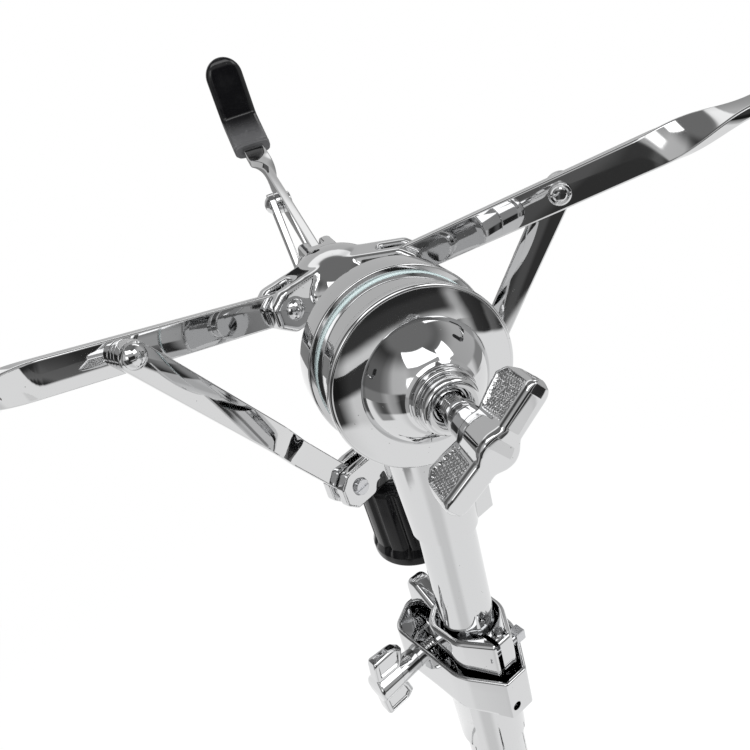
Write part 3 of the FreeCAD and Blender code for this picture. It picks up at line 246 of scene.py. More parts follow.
# Camera. Close and slightly wide, above the front of the tilter and a little to its left, rolled as the
# photograph is: the tubes lean to the right in the picture.
eye = np.array((-0.056231, -0.203294, 0.663847))
right = np.array((0.91806, -0.32215, -0.23104))
down = np.array((-0.34620, -0.36757, -0.86315))
ahead = np.array((0.19314, 0.87242, -0.44899))
focal_pixels, picture_pixels = 706.3, 750.0
lens = bpy.data.cameras.new("camera")
lens.sensor_width = 36.0
lens.lens = 36.0 * focal_pixels / picture_pixels
lens.clip_start = 0.01
camera = bpy.data.objects.new("camera", lens)
scene.collection.objects.link(camera)
stood(camera, right, -down, -ahead, eye)
scene.camera = camera


# Lower tube. Drawn steel tube, polished and chrome plated, with eased ends. A black plastic cap closes its
# foot, and a nylon bushing pressed into its top guides the upper tube.


def eased(corners, closed=True, steps=6):
    """Rounds an outline: a corner (across, up, radius) gives way to an arc that touches both its sides.

    The arc's centre lies on the bisector, radius / sin(half angle) from the corner.
    """
    flat = np.array([corner[:2] for corner in corners], float)
    run = []
    for index, corner in enumerate(corners):
        here = flat[index]
        inside = closed or 0 < index < len(corners) - 1
        if len(corner) < 3 or not inside:
            run.append(here[None])
            continue
        back = unit(flat[index - 1] - here)
        fore = unit(flat[(index + 1) % len(corners)] - here)
        half = 0.5 * np.arccos(np.clip(back @ fore, -1.0, 1.0))
        centre = here + unit(back + fore) * corner[2] / np.sin(half)
        first = here + back * corner[2] / np.tan(half) - centre
        last = here + fore * corner[2] / np.tan(half) - centre
        sweep = np.pi - 2.0 * half
        part = np.linspace(0.0, 1.0, steps + 1)[:, None]
        arc = np.sin((1.0 - part) * sweep) * first + np.sin(part * sweep) * last
        run.append(centre + arc / np.sin(sweep))
    line = np.concatenate(run)
    return np.vstack([line, line[:1]]) if closed else line


def grid_of(x, y, z):
    """A grid of points from three arrays, spread to one shape."""
    return np.stack(np.broadcast_arrays(x, y, z), axis=-1)


def polar(reach, angle, level):
    return grid_of(reach * np.cos(angle), reach * np.sin(angle), level)


def full_turn(steps):
    return np.linspace(0.0, 2.0 * np.pi, steps + 1)[:, None]


def spun(profile, steps=128):
    """Turns a profile (radius, height) about Z: x = r cos a, y = r sin a, for a from 0 to a full turn."""
    return polar(profile[:, 0], full_turn(steps), profile[:, 1])


def shift(x=0.0, y=0.0, z=0.0):
    place = np.eye(4)
    place[:3, 3] = x, y, z
    return place


def cos_sin(degrees):
    """The cosine and sine of an angle: the unit vector (out, up) at that slope."""
    return np.array((math.cos(math.radians(degrees)), math.sin(math.radians(degrees))))


def turn(axis, degrees):
    """A turn about X, Y or Z (0, 1 or 2) by the right-hand rule."""
    cosine, sine = cos_sin(degrees)
    first, second = (axis + 1) % 3, (axis + 2) % 3
    place = np.eye(4)
    place[first, first] = place[second, second] = cosine
    place[second, first], place[first, second] = sine, -sine
    return place


def put(points, place):
    return points @ place[:3, :3].T + place[:3, 3]


def placed(grids, place):
    return [put(grid, place) for grid in grids]


def mended(mesh, outward=False, flat_degrees=0.0):
    """Merges a mesh's doubled corners, then turns its faces outward or joins those that lie flat together."""
    shell = bmesh.new()
    shell.from_mesh(mesh)
    bmesh.ops.remove_doubles(shell, verts=shell.verts, dist=1.5e-6)
    if outward:
        bmesh.ops.recalc_face_normals(shell, faces=shell.faces)
    if flat_degrees:
        bmesh.ops.dissolve_limit(
            shell, angle_limit=math.radians(flat_degrees), verts=shell.verts, edges=shell.edges)
    shell.to_mesh(mesh)
    shell.free()
    return mesh


millimetre = 0.001


def skin(name, grids):
    """One mesh of several grids of points in millimetres: neighbours in a grid make quads.

    Points that meet on seams and at poles are merged, and the faces are turned outward.
    """
    corners, faces, base = [], [], 0
    for grid in grids:
        rows, columns = grid.shape[:2]
        index = np.arange(rows * columns).reshape(rows, columns) + base
        quads = np.stack([index[:-1, :-1], index[1:, :-1], index[1:, 1:], index[:-1, 1:]], axis=-1)
        corners.append(grid.reshape(-1, 3))
        faces.append(quads.reshape(-1, 4))
        base += rows * columns
    mesh = bpy.data.meshes.new(name)
    mesh.from_pydata((np.concatenate(corners) * millimetre).tolist(), [], np.concatenate(faces).tolist())
    return mended(mesh, outward=True)


def set_shading(mesh, crease):
    """Shades a mesh smooth, except at edges sharper than the crease in degrees."""
    mesh.polygons.foreach_set("use_smooth", np.ones(len(mesh.polygons), bool))
    mesh.set_sharp_from_angle(angle=math.radians(crease))


def dress(name, mesh, finish, body, nodes, crease):
    """Shades a mesh, gives it the material of its finish (material, slot) and hangs it on its body in place
    of its solids.
    """
    set_shading(mesh, crease)
    mesh.materials.clear()
    mesh.materials.append(finish[0])
    made = bpy.data.objects.new(name, mesh)
    scene.collection.objects.link(made)
    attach(made, body)
    if nodes:
        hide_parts(*nodes)
    return made


plain_crease = 38.0


def piece(node, grids, finish, body, crease=plain_crease):
    """A new piece in place of a solid, from grids of points in millimetres."""
    name = node + "_skin"
    return dress(name, skin(name, grids), finish, body, (node,), crease)


def solid_copy(node, finish, body, crease, flat_degrees=0.0):
    """A piece that copies its solid, with the corners of its triangles merged."""
    name = node + "_skin"
    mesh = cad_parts[node].data.copy()
    mesh.name = name
    return dress(name, mended(mesh, flat_degrees=flat_degrees), finish, body, (node,), crease)


def casting(node, finish, body, edge):
    """A cast or pressed piece in the form of its solid: flat faces joined and edges eased, in millimetres."""
    crease = 30.0
    made = solid_copy(node, finish, body, crease, 0.6)
    ease = made.modifiers.new("eased_edges", "BEVEL")
    ease.width = edge * millimetre
    ease.segments = 3
    ease.limit_method = "ANGLE"
    ease.angle_limit = math.radians(crease)
    ease.use_clamp_overlap = True
    ease.harden_normals = True


def rounded(node, finish, body, grain, passes):
    """A die casting in the form of its solid with rounded edges: a fine closed skin, smoothed a few times."""
    made = solid_copy(node, finish, body, 180.0)
    fine = made.modifiers.new("fine_skin", "REMESH")
    fine.mode = "VOXEL"
    fine.voxel_size = grain * millimetre
    fine.use_smooth_shade = True
    ease = made.modifiers.new("rounded_edges", "SMOOTH")
    ease.factor = 0.5
    ease.iterations = passes


def blended(factor, first, second):
    """A colour between two by a factor."""
    return factor.node("ShaderNodeMix", {"data_type": "RGBA"},
                       {"Factor": factor, 6: first, 7: second}, output=2)


def noise(spot, scale, detail, rough=0.5):
    return spot.node("ShaderNodeTexNoise", inputs={
        "Vector": spot, "Scale": scale, "Detail": detail, "Roughness": rough})


def plated(name, slot, shade, polish, smear, grain, relief):
    """Chrome plate: a clear mirror with wiped smears, fine pits and dust, and the waviness of its base metal.

    shade is the metal's colour, polish its least roughness, smear the roughness that wiping adds, grain the
    waves per metre of the base metal and relief their height in metres.
    """
    material = bpy.data.materials.new(name)
    ink = fresh_tree(material)
    spot = ink.node("ShaderNodeTexCoord", output="Object")
    wiped = rising(noise(spot, 42.0, 4.0, 0.6), 0.48, 0.72)
    speck = ink.node("ShaderNodeTexVoronoi", inputs={"Vector": spot, "Scale": 420.0}, output="Distance")
    dust = ink.math("LESS_THAN", speck, 0.09) * ink.math("GREATER_THAN", noise(spot, 190.0, 1.0), 0.6)
    wave = noise(spot, grain, 2.0)
    dusty = (shade[0] * 0.62, shade[1] * 0.61, shade[2] * 0.6, 1.0)
    dull = blended(dust * 0.55, (*shade, 1.0), dusty)
    normal = ink.node("ShaderNodeBump", inputs={"Strength": 1.0, "Distance": relief, "Height": wave})
    coat = ink.node("ShaderNodeBsdfPrincipled", inputs={
        "Base Color": dull, "Metallic": 1.0, "Roughness": wiped * smear + dust * 0.3 + polish,
        "Normal": normal})
    ink.node("ShaderNodeOutputMaterial", inputs={"Surface": coat})
    return material, slot


def moulded(name, slot, shade, pale, rough, grain, relief, gloss=0.5, sheen_below=0.0):
    """Moulded plastic or rubber: a deep colour, handling marks and the grain of the mould.

    shade goes to pale where it is worn, grain and relief are the mould's, and below the height in metres
    given last the colour is a painted sheen, a satin grey that stands in for light on the upturned seat.
    """
    material = bpy.data.materials.new(name)
    ink = fresh_tree(material)
    spot = ink.node("ShaderNodeTexCoord", output="Object")
    worn = rising(noise(spot, 60.0, 5.0, 0.62), 0.45, 0.75)
    fine = noise(spot, grain, 3.0)
    # Painted sheen: below the given height the colour goes towards a satin grey, standing in for the light on
    # the boot's upturned seat; it is also rougher there.
    low_down = rising(part_of(spot, 2), sheen_below + 0.001, sheen_below - 0.012)
    painted_sheen = low_down * (worn * 0.5 + 0.5)
    colour = blended(painted_sheen, blended(worn, (*shade, 1.0), (*pale, 1.0)), (0.11, 0.11, 0.113, 1.0))
    normal = ink.node("ShaderNodeBump", inputs={"Strength": 1.0, "Distance": relief, "Height": fine})
    body = ink.node("ShaderNodeBsdfPrincipled", inputs={
        "Base Color": colour, "Roughness": worn * 0.12 + low_down * 0.22 + rough, "Normal": normal,
        "Specular IOR Level": gloss})
    ink.node("ShaderNodeOutputMaterial", inputs={"Surface": body})
    return material, slot


tube_chrome = plated("chrome_on_tube", "chrome", (0.66, 0.665, 0.67),
                     polish=0.035, smear=0.05, grain=30.0, relief=0.00002)
cast_chrome = plated("chrome_on_casting", "chrome", (0.66, 0.663, 0.668),
                     polish=0.03, smear=0.05, grain=85.0, relief=0.00003)
strip_chrome = plated("chrome_on_strip", "chrome", (0.66, 0.662, 0.665),
                      polish=0.028, smear=0.06, grain=26.0, relief=0.00006)
bright_steel = plated("zinc_on_steel", "steel", (0.58, 0.585, 0.60),
                      polish=0.12, smear=0.12, grain=260.0, relief=0.00002)
black_plastic = moulded("black_moulding", "black_plastic", (0.003, 0.003, 0.0035), (0.007, 0.007, 0.0075),
                        rough=0.16, grain=900.0, relief=0.00001, gloss=0.22)
nylon = moulded("natural_nylon", "nylon", (0.72, 0.72, 0.69), (0.80, 0.80, 0.77),
                rough=0.42, grain=700.0, relief=0.00001)


def ring_wall(inner, outer, low, high, edge):
    """The closed profile of a tube with eased ends; a ring near each end keeps its walls straight."""
    rim = 3.0 * edge
    return eased((
        (inner, low, edge), (outer, low, edge), (outer, low + rim), (outer, high - rim), (outer, high, edge),
        (inner, high, edge), (inner, high - rim), (inner, low + rim)), steps=4)


tube_wall = ring_wall(inner=11.5, outer=12.7, low=30.0, high=406.0, edge=0.3)
piece("lower_tube", [spun(tube_wall)], tube_chrome, "base")
cap_line = eased((
    (0, 27), (12.7, 27, 1.6), (12.7, 30), (11.46, 30), (11.46, 44, 0.5), (10.3, 44), (10.3, 31.2),
    (0, 31.2)), False)
piece("tube_end_cap", [spun(cap_line, 96)], black_plastic, "base")
bushing_wall = ring_wall(inner=11.18, outer=12.7, low=406.0, high=414.0, edge=0.25)
piece("tube_bushing", [spun(bushing_wall, 96)], nylon, "base")


# Height clamp. One die casting, split at its ears, polished and plated: a drop-shaped cup with a sloping rim
# round the memory lock and a tapered sleeve over the lower tube. A wing bolt with a square nut draws it shut.


def plan(corners, start_half, count=321):
    """A plan round from the ears past the nose and back, the same on both sides of X, at even steps.

    corners are (x, half width, radius) from the ears to the nose; the line starts and ends start_half off X.
    """
    reach = corners[0][0]
    left_side = [(x, -y, radius) for x, y, radius in corners]
    right_side = [(x, y, radius) for x, y, radius in reversed(corners)]
    line = eased([(reach, -start_half), *left_side, *right_side, (reach, start_half)], False, 12)
    run = np.concatenate([[0.0], np.cumsum(np.linalg.norm(np.diff(line, axis=0), axis=1))])
    spots = np.linspace(0.0, run[-1], count)
    return np.stack([np.interp(spots, run, line[:, 0]), np.interp(spots, run, line[:, 1])], axis=-1)


def inward(line):
    """Unit normals of a plan line, to its right: into the piece."""
    way = np.gradient(line, axis=0)
    way = way / np.linalg.norm(way, axis=1, keepdims=True)
    return np.stack([way[:, 1], -way[:, 0]], axis=-1)


def spokes(line):
    """Unit vectors from the tube's axis towards the points of a plan line."""
    bearing = np.unwrap(np.arctan2(line[:, 1], line[:, 0]))
    return np.stack([np.cos(bearing), np.sin(bearing)], axis=-1)


def row(points, level):
    return np.column_stack([points, np.broadcast_to(level, len(points))])


def quarter(steps):
    """Angles from 0 to a quarter turn."""
    return np.linspace(0.0, np.pi / 2, steps)


def rolled(line, normals, level, radius, turns):
    """Rows over a rounded edge: r (1 - cos t) in along the normals and r sin t up from the level."""
    return [row(line + normals * radius * (1.0 - math.cos(part)), level + radius * math.sin(part))
            for part in turns]


def cut(made, cutters, crease):
    """Cuts closed grids, in millimetres, out of a finished piece with an exact Boolean."""
    tool = bpy.data.objects.new("cutter", skin("cutter", cutters))
    scene.collection.objects.link(tool)
    taken = made.modifiers.new("cut", "BOOLEAN")
    taken.object = tool
    taken.solver = "EXACT"
    bpy.context.view_layer.update()
    result = bpy.data.meshes.new_from_object(made.evaluated_get(bpy.context.evaluated_depsgraph_get()))
    made.modifiers.clear()
    result.name = made.name
    made.data = result
    set_shading(result, crease)
    bpy.data.objects.remove(tool)


clamp_heading, clamp_crease = 108.0, 48.0
clamp_place = shift(z=404.0) @ turn(2, clamp_heading)
ear_reach, rim_top, rim_slope, rim_round = 34.0, 28.0, 7.5, 0.9
bore, sleeve_narrow, sleeve_wide, sleeve_foot = 12.72, 14.3, 14.9, -30.0
wall_thick, well_floor = 1.8, 11.0
wall = plan(((ear_reach, 8.0, 5.0), (27.4, 20.2, 7.0), (-8.7, 17.2, 16.0), (-24.1, 5.5, 2.0)), 1.2)
into = inward(wall)
well = wall + into * wall_thick
circle = spokes(wall)
shoulder = rim_top - math.tan(math.radians(rim_slope)) * (ear_reach - wall[:, 0]) - rim_round
skirt = np.interp(wall[:, 0], (-24.1, -16.0, 0.0, ear_reach), (0.6, 3.0, 6.0, 8.0))
outer_side = [row(bore * circle, sleeve_foot), row(sleeve_narrow * circle, sleeve_foot),
              row(sleeve_wide * circle, -1.0)]
for part in (0.35, 0.65, 0.88, 1.0):
    spread = sleeve_wide * circle + (wall - sleeve_wide * circle) * part
    outer_side.append(row(spread, -1.0 + (skirt + 1.0) * part ** 1.6))
for part in (0.06, 0.35, 0.7, 1.0):
    outer_side.append(row(wall, skirt + (shoulder - skirt) * part))
outer_side += rolled(wall, into, shoulder, rim_round, quarter(6)[1:])
inner_side = [row(bore * circle + (well - bore * circle) * part, level) for part, level in (
    (0.0, 10.0), (0.5, 10.0), (0.9, 10.0), (0.97, 10.3), (0.995, 11.0))]
for part in (0.1, 0.3, 0.5, 0.75, 0.9, 1.0):
    inner_side.append(row(well, well_floor + (shoulder - well_floor) * part))
inner_side += rolled(wall, into, shoulder, rim_round, np.linspace(np.pi, np.pi / 2, 6)[1:])
clamp_grids = [np.stack(outer_side + inner_side[::-1][1:] + outer_side[:1])]
for end in (0, -1):
    ends = [[level[end] for level in side] for side in (outer_side, inner_side)]
    clamp_grids.append(np.stack(ends, axis=1))
height_clamp = piece("height_clamp", placed(clamp_grids, clamp_place), cast_chrome, "base", clamp_crease)
eyelet = spun(np.array(((0.0, -4.0), (2.0, -4.0), (2.0, 4.0), (0.0, 4.0))), 32)
cut(height_clamp, [put(eyelet, clamp_place @ shift(x=-23.0, y=2.75, z=5.6) @ turn(1, 90.0))], clamp_crease)
casting("clamp_nut", bright_steel, "base", 0.4)


def smooth(part):
    """A smooth step, 3p^2 - 2p^3 of the way p."""
    return part * part * (3.0 - 2.0 * part)


def wing_plate(span, back, front, thick, barrel, flare, border, sink, bead):
    """The wings and flared barrel end of a wing bolt about Z, as one skin round each section across X.

    At each x a line runs from the middle of the front face over an eased edge, down the side and over the
    back edge, with its mirror image on the far side. The side stands half the wing's thickness out, or on the
    barrel's circle where that is further, with a smooth greater-of between them; it is sunk inside the border
    of each finger pad, where slanting rows of cells stand up by bead. The tips close as quarter ellipses.
    """
    stations, face, turns, side = 261, 4, 9, 64
    share = np.sin(np.linspace(-1.0, 1.0, stations) * np.pi / 2.0)
    across = 0.35 * share * span + 0.65 * np.linspace(-span, span, stations)
    reach = np.abs(across)
    chord = front - back
    low = np.interp(
        reach, (0, barrel * 0.8, span * 0.5, span * 0.76, span * 0.9, span * 0.97, span),
        np.array((0.24, 0.2, 0.07, 0.0, 0.17, 0.42, 0.8)) * chord + back)
    high = front + np.interp(
        reach, (0, barrel * 0.6, barrel * flare, span * 0.8, span * 0.94, span),
        (1.5, 1.3, 0.75, 0.2, -0.3, -1.8))
    tip = np.clip((span - reach) / (thick * 0.42), 0.0, 1.0)
    closing = np.sqrt(np.clip(1.0 - (1.0 - tip) ** 2, 0.0, 1.0))
    edge = 0.22 * thick
    arc = quarter(turns)
    flat, leaving, meeting = np.full(face, edge), edge * (1.0 - np.cos(arc)), edge * (1.0 - np.sin(arc))
    drop = np.concatenate([np.zeros(face), leaving, np.full(side + turns + face, edge)])
    pull = np.concatenate([flat, meeting, np.zeros(side), leaving, flat])
    slide = np.linspace(0.0, 1.0, side + 2)[1:-1]
    slide = np.concatenate([np.zeros(face + turns), slide, np.ones(turns + face)])
    lift = np.concatenate([np.zeros(face + turns + side), edge * np.sin(arc), flat])
    span_z = np.maximum(high - low - 2.0 * edge, 0.3)[:, None]
    z = high[:, None] - drop - slide * span_z - lift * np.minimum(1.0, span_z / 2.0)
    part = np.clip((z - back) / chord, 0.0, 1.0)
    x = np.broadcast_to(across[:, None], z.shape)
    out = np.abs(x)
    wing = 0.5 * thick * (0.78 + 0.22 * part)
    radius = np.interp(z, (0.0, front), (barrel, barrel * flare))
    post = np.sqrt(np.clip(radius ** 2 - x ** 2, 0.0, None))
    blend = 1.6
    gap = np.clip(1.0 - np.abs(wing - post) / blend, 0.0, 1.0)
    half = (np.maximum(wing, post) + 0.25 * blend * gap * gap) * closing[:, None]
    inset = np.minimum(np.minimum(z - low[:, None], high[:, None] - z), span - out)
    pad = smooth(np.clip((inset - border) / 0.8, 0.0, 1.0) * np.clip((out - radius - 0.5) / 1.2, 0.0, 1.0))
    cell_long, cell_wide, bevel = 1.05, 1.3, 0.22
    along = (z * 0.8 + out * 0.6) / cell_long
    beside = (out * 0.8 - z * 0.6) / cell_wide + 0.5 * (np.floor(along) % 2.0)
    cells = [np.clip((0.5 - np.abs(way % 1.0 - 0.5)) / bevel, 0.0, 1.0) for way in (along, beside)]
    half = half - pad * (sink - bead * cells[0] * cells[1])
    front_taper, back_taper = np.linspace(0.0, 0.75, face + 1)[:face], np.linspace(0.75, 0.0, face)
    taper = np.concatenate([front_taper, np.ones(2 * turns + side), back_taper])
    half = (half - pull * closing[:, None]) * taper
    return [grid_of(x, half, z), grid_of(x, -half, z)]


def thread(radius, depth, pitch, low, high, steps=48):
    """An outside thread: the radius follows a triangle wave of height and turn, z climbs one pitch a turn."""
    rows = int((high - low) / pitch * 6)
    angle = full_turn(steps)
    level = np.linspace(low, high, rows + 1)[None, :]
    wave = np.abs(((level / pitch - angle / (2.0 * np.pi)) % 1.0) * 2.0 - 1.0)
    reach = radius - depth * (1.0 - wave)
    reach[:, 0] = reach[:, -1] = 0.0
    return polar(reach, angle, level)


clamp_axis = clamp_place @ shift(x=18.0, y=19.0, z=15.0) @ turn(0, -90.0) @ turn(2, 90.0)
clamp_barrel = eased(((0, 0), (4.7, 0, 0.5), (6.0, 19.4, 0.3), (0, 19.4)), False)
clamp_wing = wing_plate(span=16.0, back=6.0, front=20.5, thick=6.0, barrel=4.7, flare=1.3, border=1.9,
                        sink=1.0, bead=0.0) + [spun(clamp_barrel, 64)]
clamp_bolt = clamp_wing + [thread(radius=3.4, depth=0.35, pitch=1.25, low=-43.0, high=0.2)]
piece("clamp_wing_bolt", placed(clamp_bolt, clamp_axis), cast_chrome, "clamp_wing")


# Upper tube. The same drawn steel tube one size down, polished and chrome plated. It slides in the nylon
# bushing, is held by the height clamp and is pinned into the socket of the tilter.
mast_wall = ring_wall(inner=9.9, outer=11.1, low=233.0, high=523.0, edge=0.3)
piece("upper_tube", [spun(mast_wall)], tube_chrome, "mast")


# Memory lock. A split cast ring clamped on the upper tube with a key screw. It nests in the cup of the height
# clamp, so that the stand comes back to the same height; its tall fin keys into the ears.


def closed_ends(rings):
    """Closes a run of rings on the middles of its first and last ones."""
    middle = rings[:, :-1].mean(axis=1, keepdims=True)
    first = np.broadcast_to(middle[:1], rings[:1].shape)
    last = np.broadcast_to(middle[-1:], rings[:1].shape)
    return np.concatenate([first, rings, last])


def thumb(outline, half, edge, steps=8):
    """A plate across Y with rounded edges: its outline (x, z) drawn in by a quarter circle to both faces."""
    line = np.array(outline)
    way = np.gradient(np.vstack([line[-2], line, line[1]]), axis=0)[1:-1]
    way = way / np.linalg.norm(way, axis=1, keepdims=True)
    normal = np.stack([-way[:, 1], way[:, 0]], axis=-1)
    arc = quarter(steps)
    across = np.concatenate([-half + edge * (1.0 - np.sin(arc[::-1])), half - edge * (1.0 - np.sin(arc))])
    drawn = edge * (1.0 - np.cos(np.concatenate([arc[::-1], arc])))
    flat = line + normal * drawn[:, None, None]
    return closed_ends(grid_of(flat[..., 0], across[:, None], flat[..., 1]))


lock_place = shift(z=414.2) @ turn(2, clamp_heading)
lock_bore, lock_lip, lock_top, lock_round, lock_crease = 11.15, 12.9, 25.8, 2.0, 50.0
lock_wall = plan(((15.5, 6.0, 6.0), (9.0, 14.4, 8.0), (-7.0, 13.8, 11.0), (-20.4, 4.6, 2.2)), 0.0)
lock_into = inward(lock_wall)
circle = spokes(lock_wall)
lock_rows = [row(lock_bore * circle, 0.0), row(lock_wall + lock_into * 0.6, 0.0)]
lock_rows += [row(lock_wall, level) for level in (0.6, 8.0, 16.0, lock_top)]
lock_rows += rolled(lock_wall, lock_into, lock_top, lock_round, quarter(8)[1:])
crest = lock_wall + lock_into * lock_round
beyond_lip = np.linalg.norm(crest, axis=1, keepdims=True) > lock_lip
lip = np.where(beyond_lip, lock_lip * circle, crest * 0.985)
for part, level in ((0.5, 27.8), (0.85, 27.6), (1.0, 27.0)):
    lock_rows.append(row(crest + (lip - crest) * part, level))
lock_rows += [row(12.2 * circle, 26.0), row(11.6 * circle, 24.6), row(lock_bore * circle, 24.0)]
lock_rows.append(lock_rows[0])
memory_lock = piece("memory_lock", [put(np.stack(lock_rows), lock_place)], cast_chrome, "mast", lock_crease)
slit_line = eased(((-26.0, -1.0), (-5.6, -1.0), (-5.6, 40.0), (-26.0, 40.0)), True)
slit_block = put(thumb(slit_line, 1.0, 0.001), shift(y=3.0))
scoop_line = np.array(((0.0, 22.8), (2.4, 22.8), (3.0, 23.4), (3.0, 40.0), (0.0, 40.0)))
scoop = put(spun(scoop_line, 48), shift(x=-16.6, y=-1.6))
for block in (slit_block, scoop):
    cut(memory_lock, [put(block, lock_place)], lock_crease)
fin_line = eased((
    (11.3, 12.5), (31.0, 12.5, 4.0), (31.0, 33.8, 4.5), (24.5, 33.8, 5.0), (13.6, 26.6, 2.0),
    (11.3, 26.0)), True, 8)
lock_fin = put(put(thumb(fin_line, 4.5, 2.4), shift(y=2.5)), lock_place)
dress("memory_lock_fin", skin("memory_lock_fin", [lock_fin]), cast_chrome, "mast", (), plain_crease)
casting("memory_lock_screw", bright_steel, "mast", 0.3)


# Front tilter disc. Die cast, polished and plated: a deep rim with a rolled bead, a dished ring, a dome and a
# stepped neck, in one piece with the tapered socket that is pinned to the upper tube.
tilter_centre = shift(z=560.0)
tilter_axis = tilter_centre @ turn(0, 90.0)


def bowed(first, last, sag, steps=14):
    """A shallow arc between two points, drawn as a parabola that leaves the chord by sag at its middle."""
    part = np.linspace(0.0, 1.0, steps + 1)[1:-1]
    first, last = np.array(first, float), np.array(last, float)
    side = np.array((-(last - first)[1], (last - first)[0])) / np.linalg.norm(last - first)
    return [tuple(first + (last - first) * p + side * sag * 4.0 * p * (1.0 - p)) for p in part]


def on_circle(radius, first, last, steps=24):
    """Points of an arc about the axis, from one radius to the next, with its height from the circle."""
    reach = np.sin(np.linspace(np.arcsin(first[0] / radius), np.arcsin(last[0] / radius), steps + 1)) * radius
    level = np.sqrt(radius ** 2 - reach ** 2)
    return [tuple(pair) for pair in np.stack([reach, first[1] + level - level[0]], axis=-1)]


front_line = eased((
    (4.9, 0.8), (29.6, 0.8, 0.6), (30.4, 1.6, 0.6), (30.4, 12.8, 1.2), (31.2, 14.0, 1.2), (31.2, 17.1, 1.1),
    (29.8, 17.1, 0.3), *bowed((29.8, 17.1), (21.4, 18.35), -0.12), (21.4, 18.35), (21.3, 18.9),
    *on_circle(23.0, (21.3, 18.9), (11.9, 29.9))[1:-1],
    (11.7, 30.0, 0.2), (10.6, 30.9, 1.0), (10.4, 34.2, 0.8), (8.2, 34.2), (4.9, 34.2)), False)


def socket_skin(low, high, bore, steps=192):
    """The socket's wall as rings up the tube: a tapered round with a wedge lug at the right of its foot.

    A ring's radius at each angle is the greater of the cone's and the wedge's, which fades in downwards.
    """
    angle = np.linspace(-np.pi, np.pi, steps + 1)
    level = np.concatenate([[low, low], np.linspace(low + 0.5, high, 34)])
    cone = np.interp(level, (low, -24.0), (12.7, 15.8))
    cone[0], cone[1] = bore, cone[1] - 0.5
    cosine, sine = np.cos(angle)[None, :], np.sin(angle)[None, :]
    ring = np.broadcast_to(cone[:, None], (len(level), steps + 1))
    lug = 9.6 / np.maximum(np.abs(sine) + 0.42 * cosine, 1e-6)
    lug = np.minimum(20.0 / np.maximum(cosine, 1e-6), lug)
    lug = np.where((cosine > 0.05) & (np.abs(np.degrees(angle)) <= 62.0), lug, 0.0)
    share = smooth(np.clip((-38.0 - level) / 9.0, 0.0, 1.0))[:, None]
    ring = ring + (np.maximum(ring, lug) - ring) * share
    ring[0] = bore
    return polar(ring, angle, level[:, None])


socket_foot, socket_bore, joint_level, back_face = -70.0, 11.14, -34.2, -1.2
socket_wall = socket_skin(socket_foot, -20.0, socket_bore)
behind = (socket_wall[..., 2] > joint_level) & (socket_wall[..., 1] > back_face)
socket_wall[..., 1] = np.where(behind, back_face, socket_wall[..., 1])
inside = spun(np.array(((socket_bore, socket_foot), (socket_bore, -38.0), (0.0, -38.0))), 96)
disc_grids = [put(spun(front_line, 192), tilter_axis)] + placed((socket_wall, inside), tilter_centre)
piece("tilter_front_disc", disc_grids, cast_chrome, "mast")
casting("socket_pin", bright_steel, "mast", 0.3)
neck_line = eased((
    (5.0, 34.2), (9.4, 34.2, 0.9), (9.4, 38.6, 1.7), (6.6, 38.6, 0.5), (5.0, 37.2), (5.0, 34.2)), False, 8)
piece("neck_ring", [put(spun(neck_line, 128), tilter_axis)], cast_chrome, "mast")


# Tilter wing bolt. A cast wing screw: its thread shows between the neck and the barrel, and both finger pads
# are sunk and knurled in diamonds. It draws the two discs together.
bolt_axis = tilter_axis @ shift(z=42.6) @ turn(2, 41.0)
barrel_line = eased(((0, 0), (5.2, 0, 0.6), (6.1, 21.0, 0.3), (0, 21.0)), False)
bolt_grids = wing_plate(span=21.0, back=5.4, front=22.4, thick=8.0, barrel=5.2, flare=1.2, border=2.1,
                        sink=1.2, bead=0.4)
bolt_grids += [spun(barrel_line, 96), thread(radius=4.1, depth=0.4, pitch=1.0, low=-56.0, high=0.4)]
piece("tilter_wing_bolt", placed(bolt_grids, bolt_axis), cast_chrome, "tilter_wing")


# Friction ring and rear disc. A pale plastic ring is gripped between the discs; the rear disc is cast with
# the bracket and the upright sleeve that carries the basket.


def bar(half_across, half_up, edge, steps):
    """The closed outline of a bar's section, with rounded corners."""
    return eased(((-half_across, -half_up, edge), (half_across, -half_up, edge), (half_across, half_up, edge),
                  (-half_across, half_up, edge)), True, steps)


def web(near, far, half, edge, steps=40):
    """A flat web between two upright edges: a rounded rectangle across X, carried from disc to sleeve.

    near and far are (distance back, low, high); the section's height follows the straight line between them.
    """
    part = np.linspace(0.0, 1.0, steps)
    back, low, high = np.array(near)[:, None] + (np.array(far) - np.array(near))[:, None] * part
    section = bar(half, 1.0, edge, 5)
    level = 0.5 * (low + high)[:, None] + 0.5 * (high - low)[:, None] * section[None, :, 1]
    return grid_of(section[:, 0], back[:, None], level)


pale_ring = moulded("pale_friction_ring", "friction_pad", (0.36, 0.43, 0.43), (0.46, 0.53, 0.53),
                    rough=0.42, grain=500.0, relief=0.00002)
basket_back = 75.0
tilter_frame = tilter_centre @ turn(1, -2.4)
rear_axis = tilter_frame @ turn(0, -90.0)
pad_line = eased(((12, -0.8), (30.6, -0.8, 0.3), (30.6, 1.2, 0.3), (12, 1.2)), True, 4)
piece("friction_pad", [put(spun(pad_line, 160), rear_axis)], pale_ring, "tilter")
rear_line = eased((
    (4.9, 1.2), (32.8, 1.2, 0.7), (32.8, 13.6, 1.0), (28.8, 13.6, 0.8), (15.0, 15.0, 0.8), (15.0, 18.2, 0.8),
    (0, 18.2)), False)
sleeve_wall = ring_wall(inner=7.92, outer=11.5, low=-34.5, high=-0.5, edge=0.6)
rear_grids = [
    put(spun(rear_line, 192), rear_axis), put(spun(sleeve_wall, 96), tilter_frame @ shift(y=basket_back)),
    put(web(near=(12.2, -13.5, 11.25), far=(69.0, -32.9, -2.1), half=6.5, edge=0.12), tilter_frame)]
piece("tilter_rear_disc", rear_grids, cast_chrome, "tilter")
casting("shaft_bushing", nylon, "tilter", 0.2)


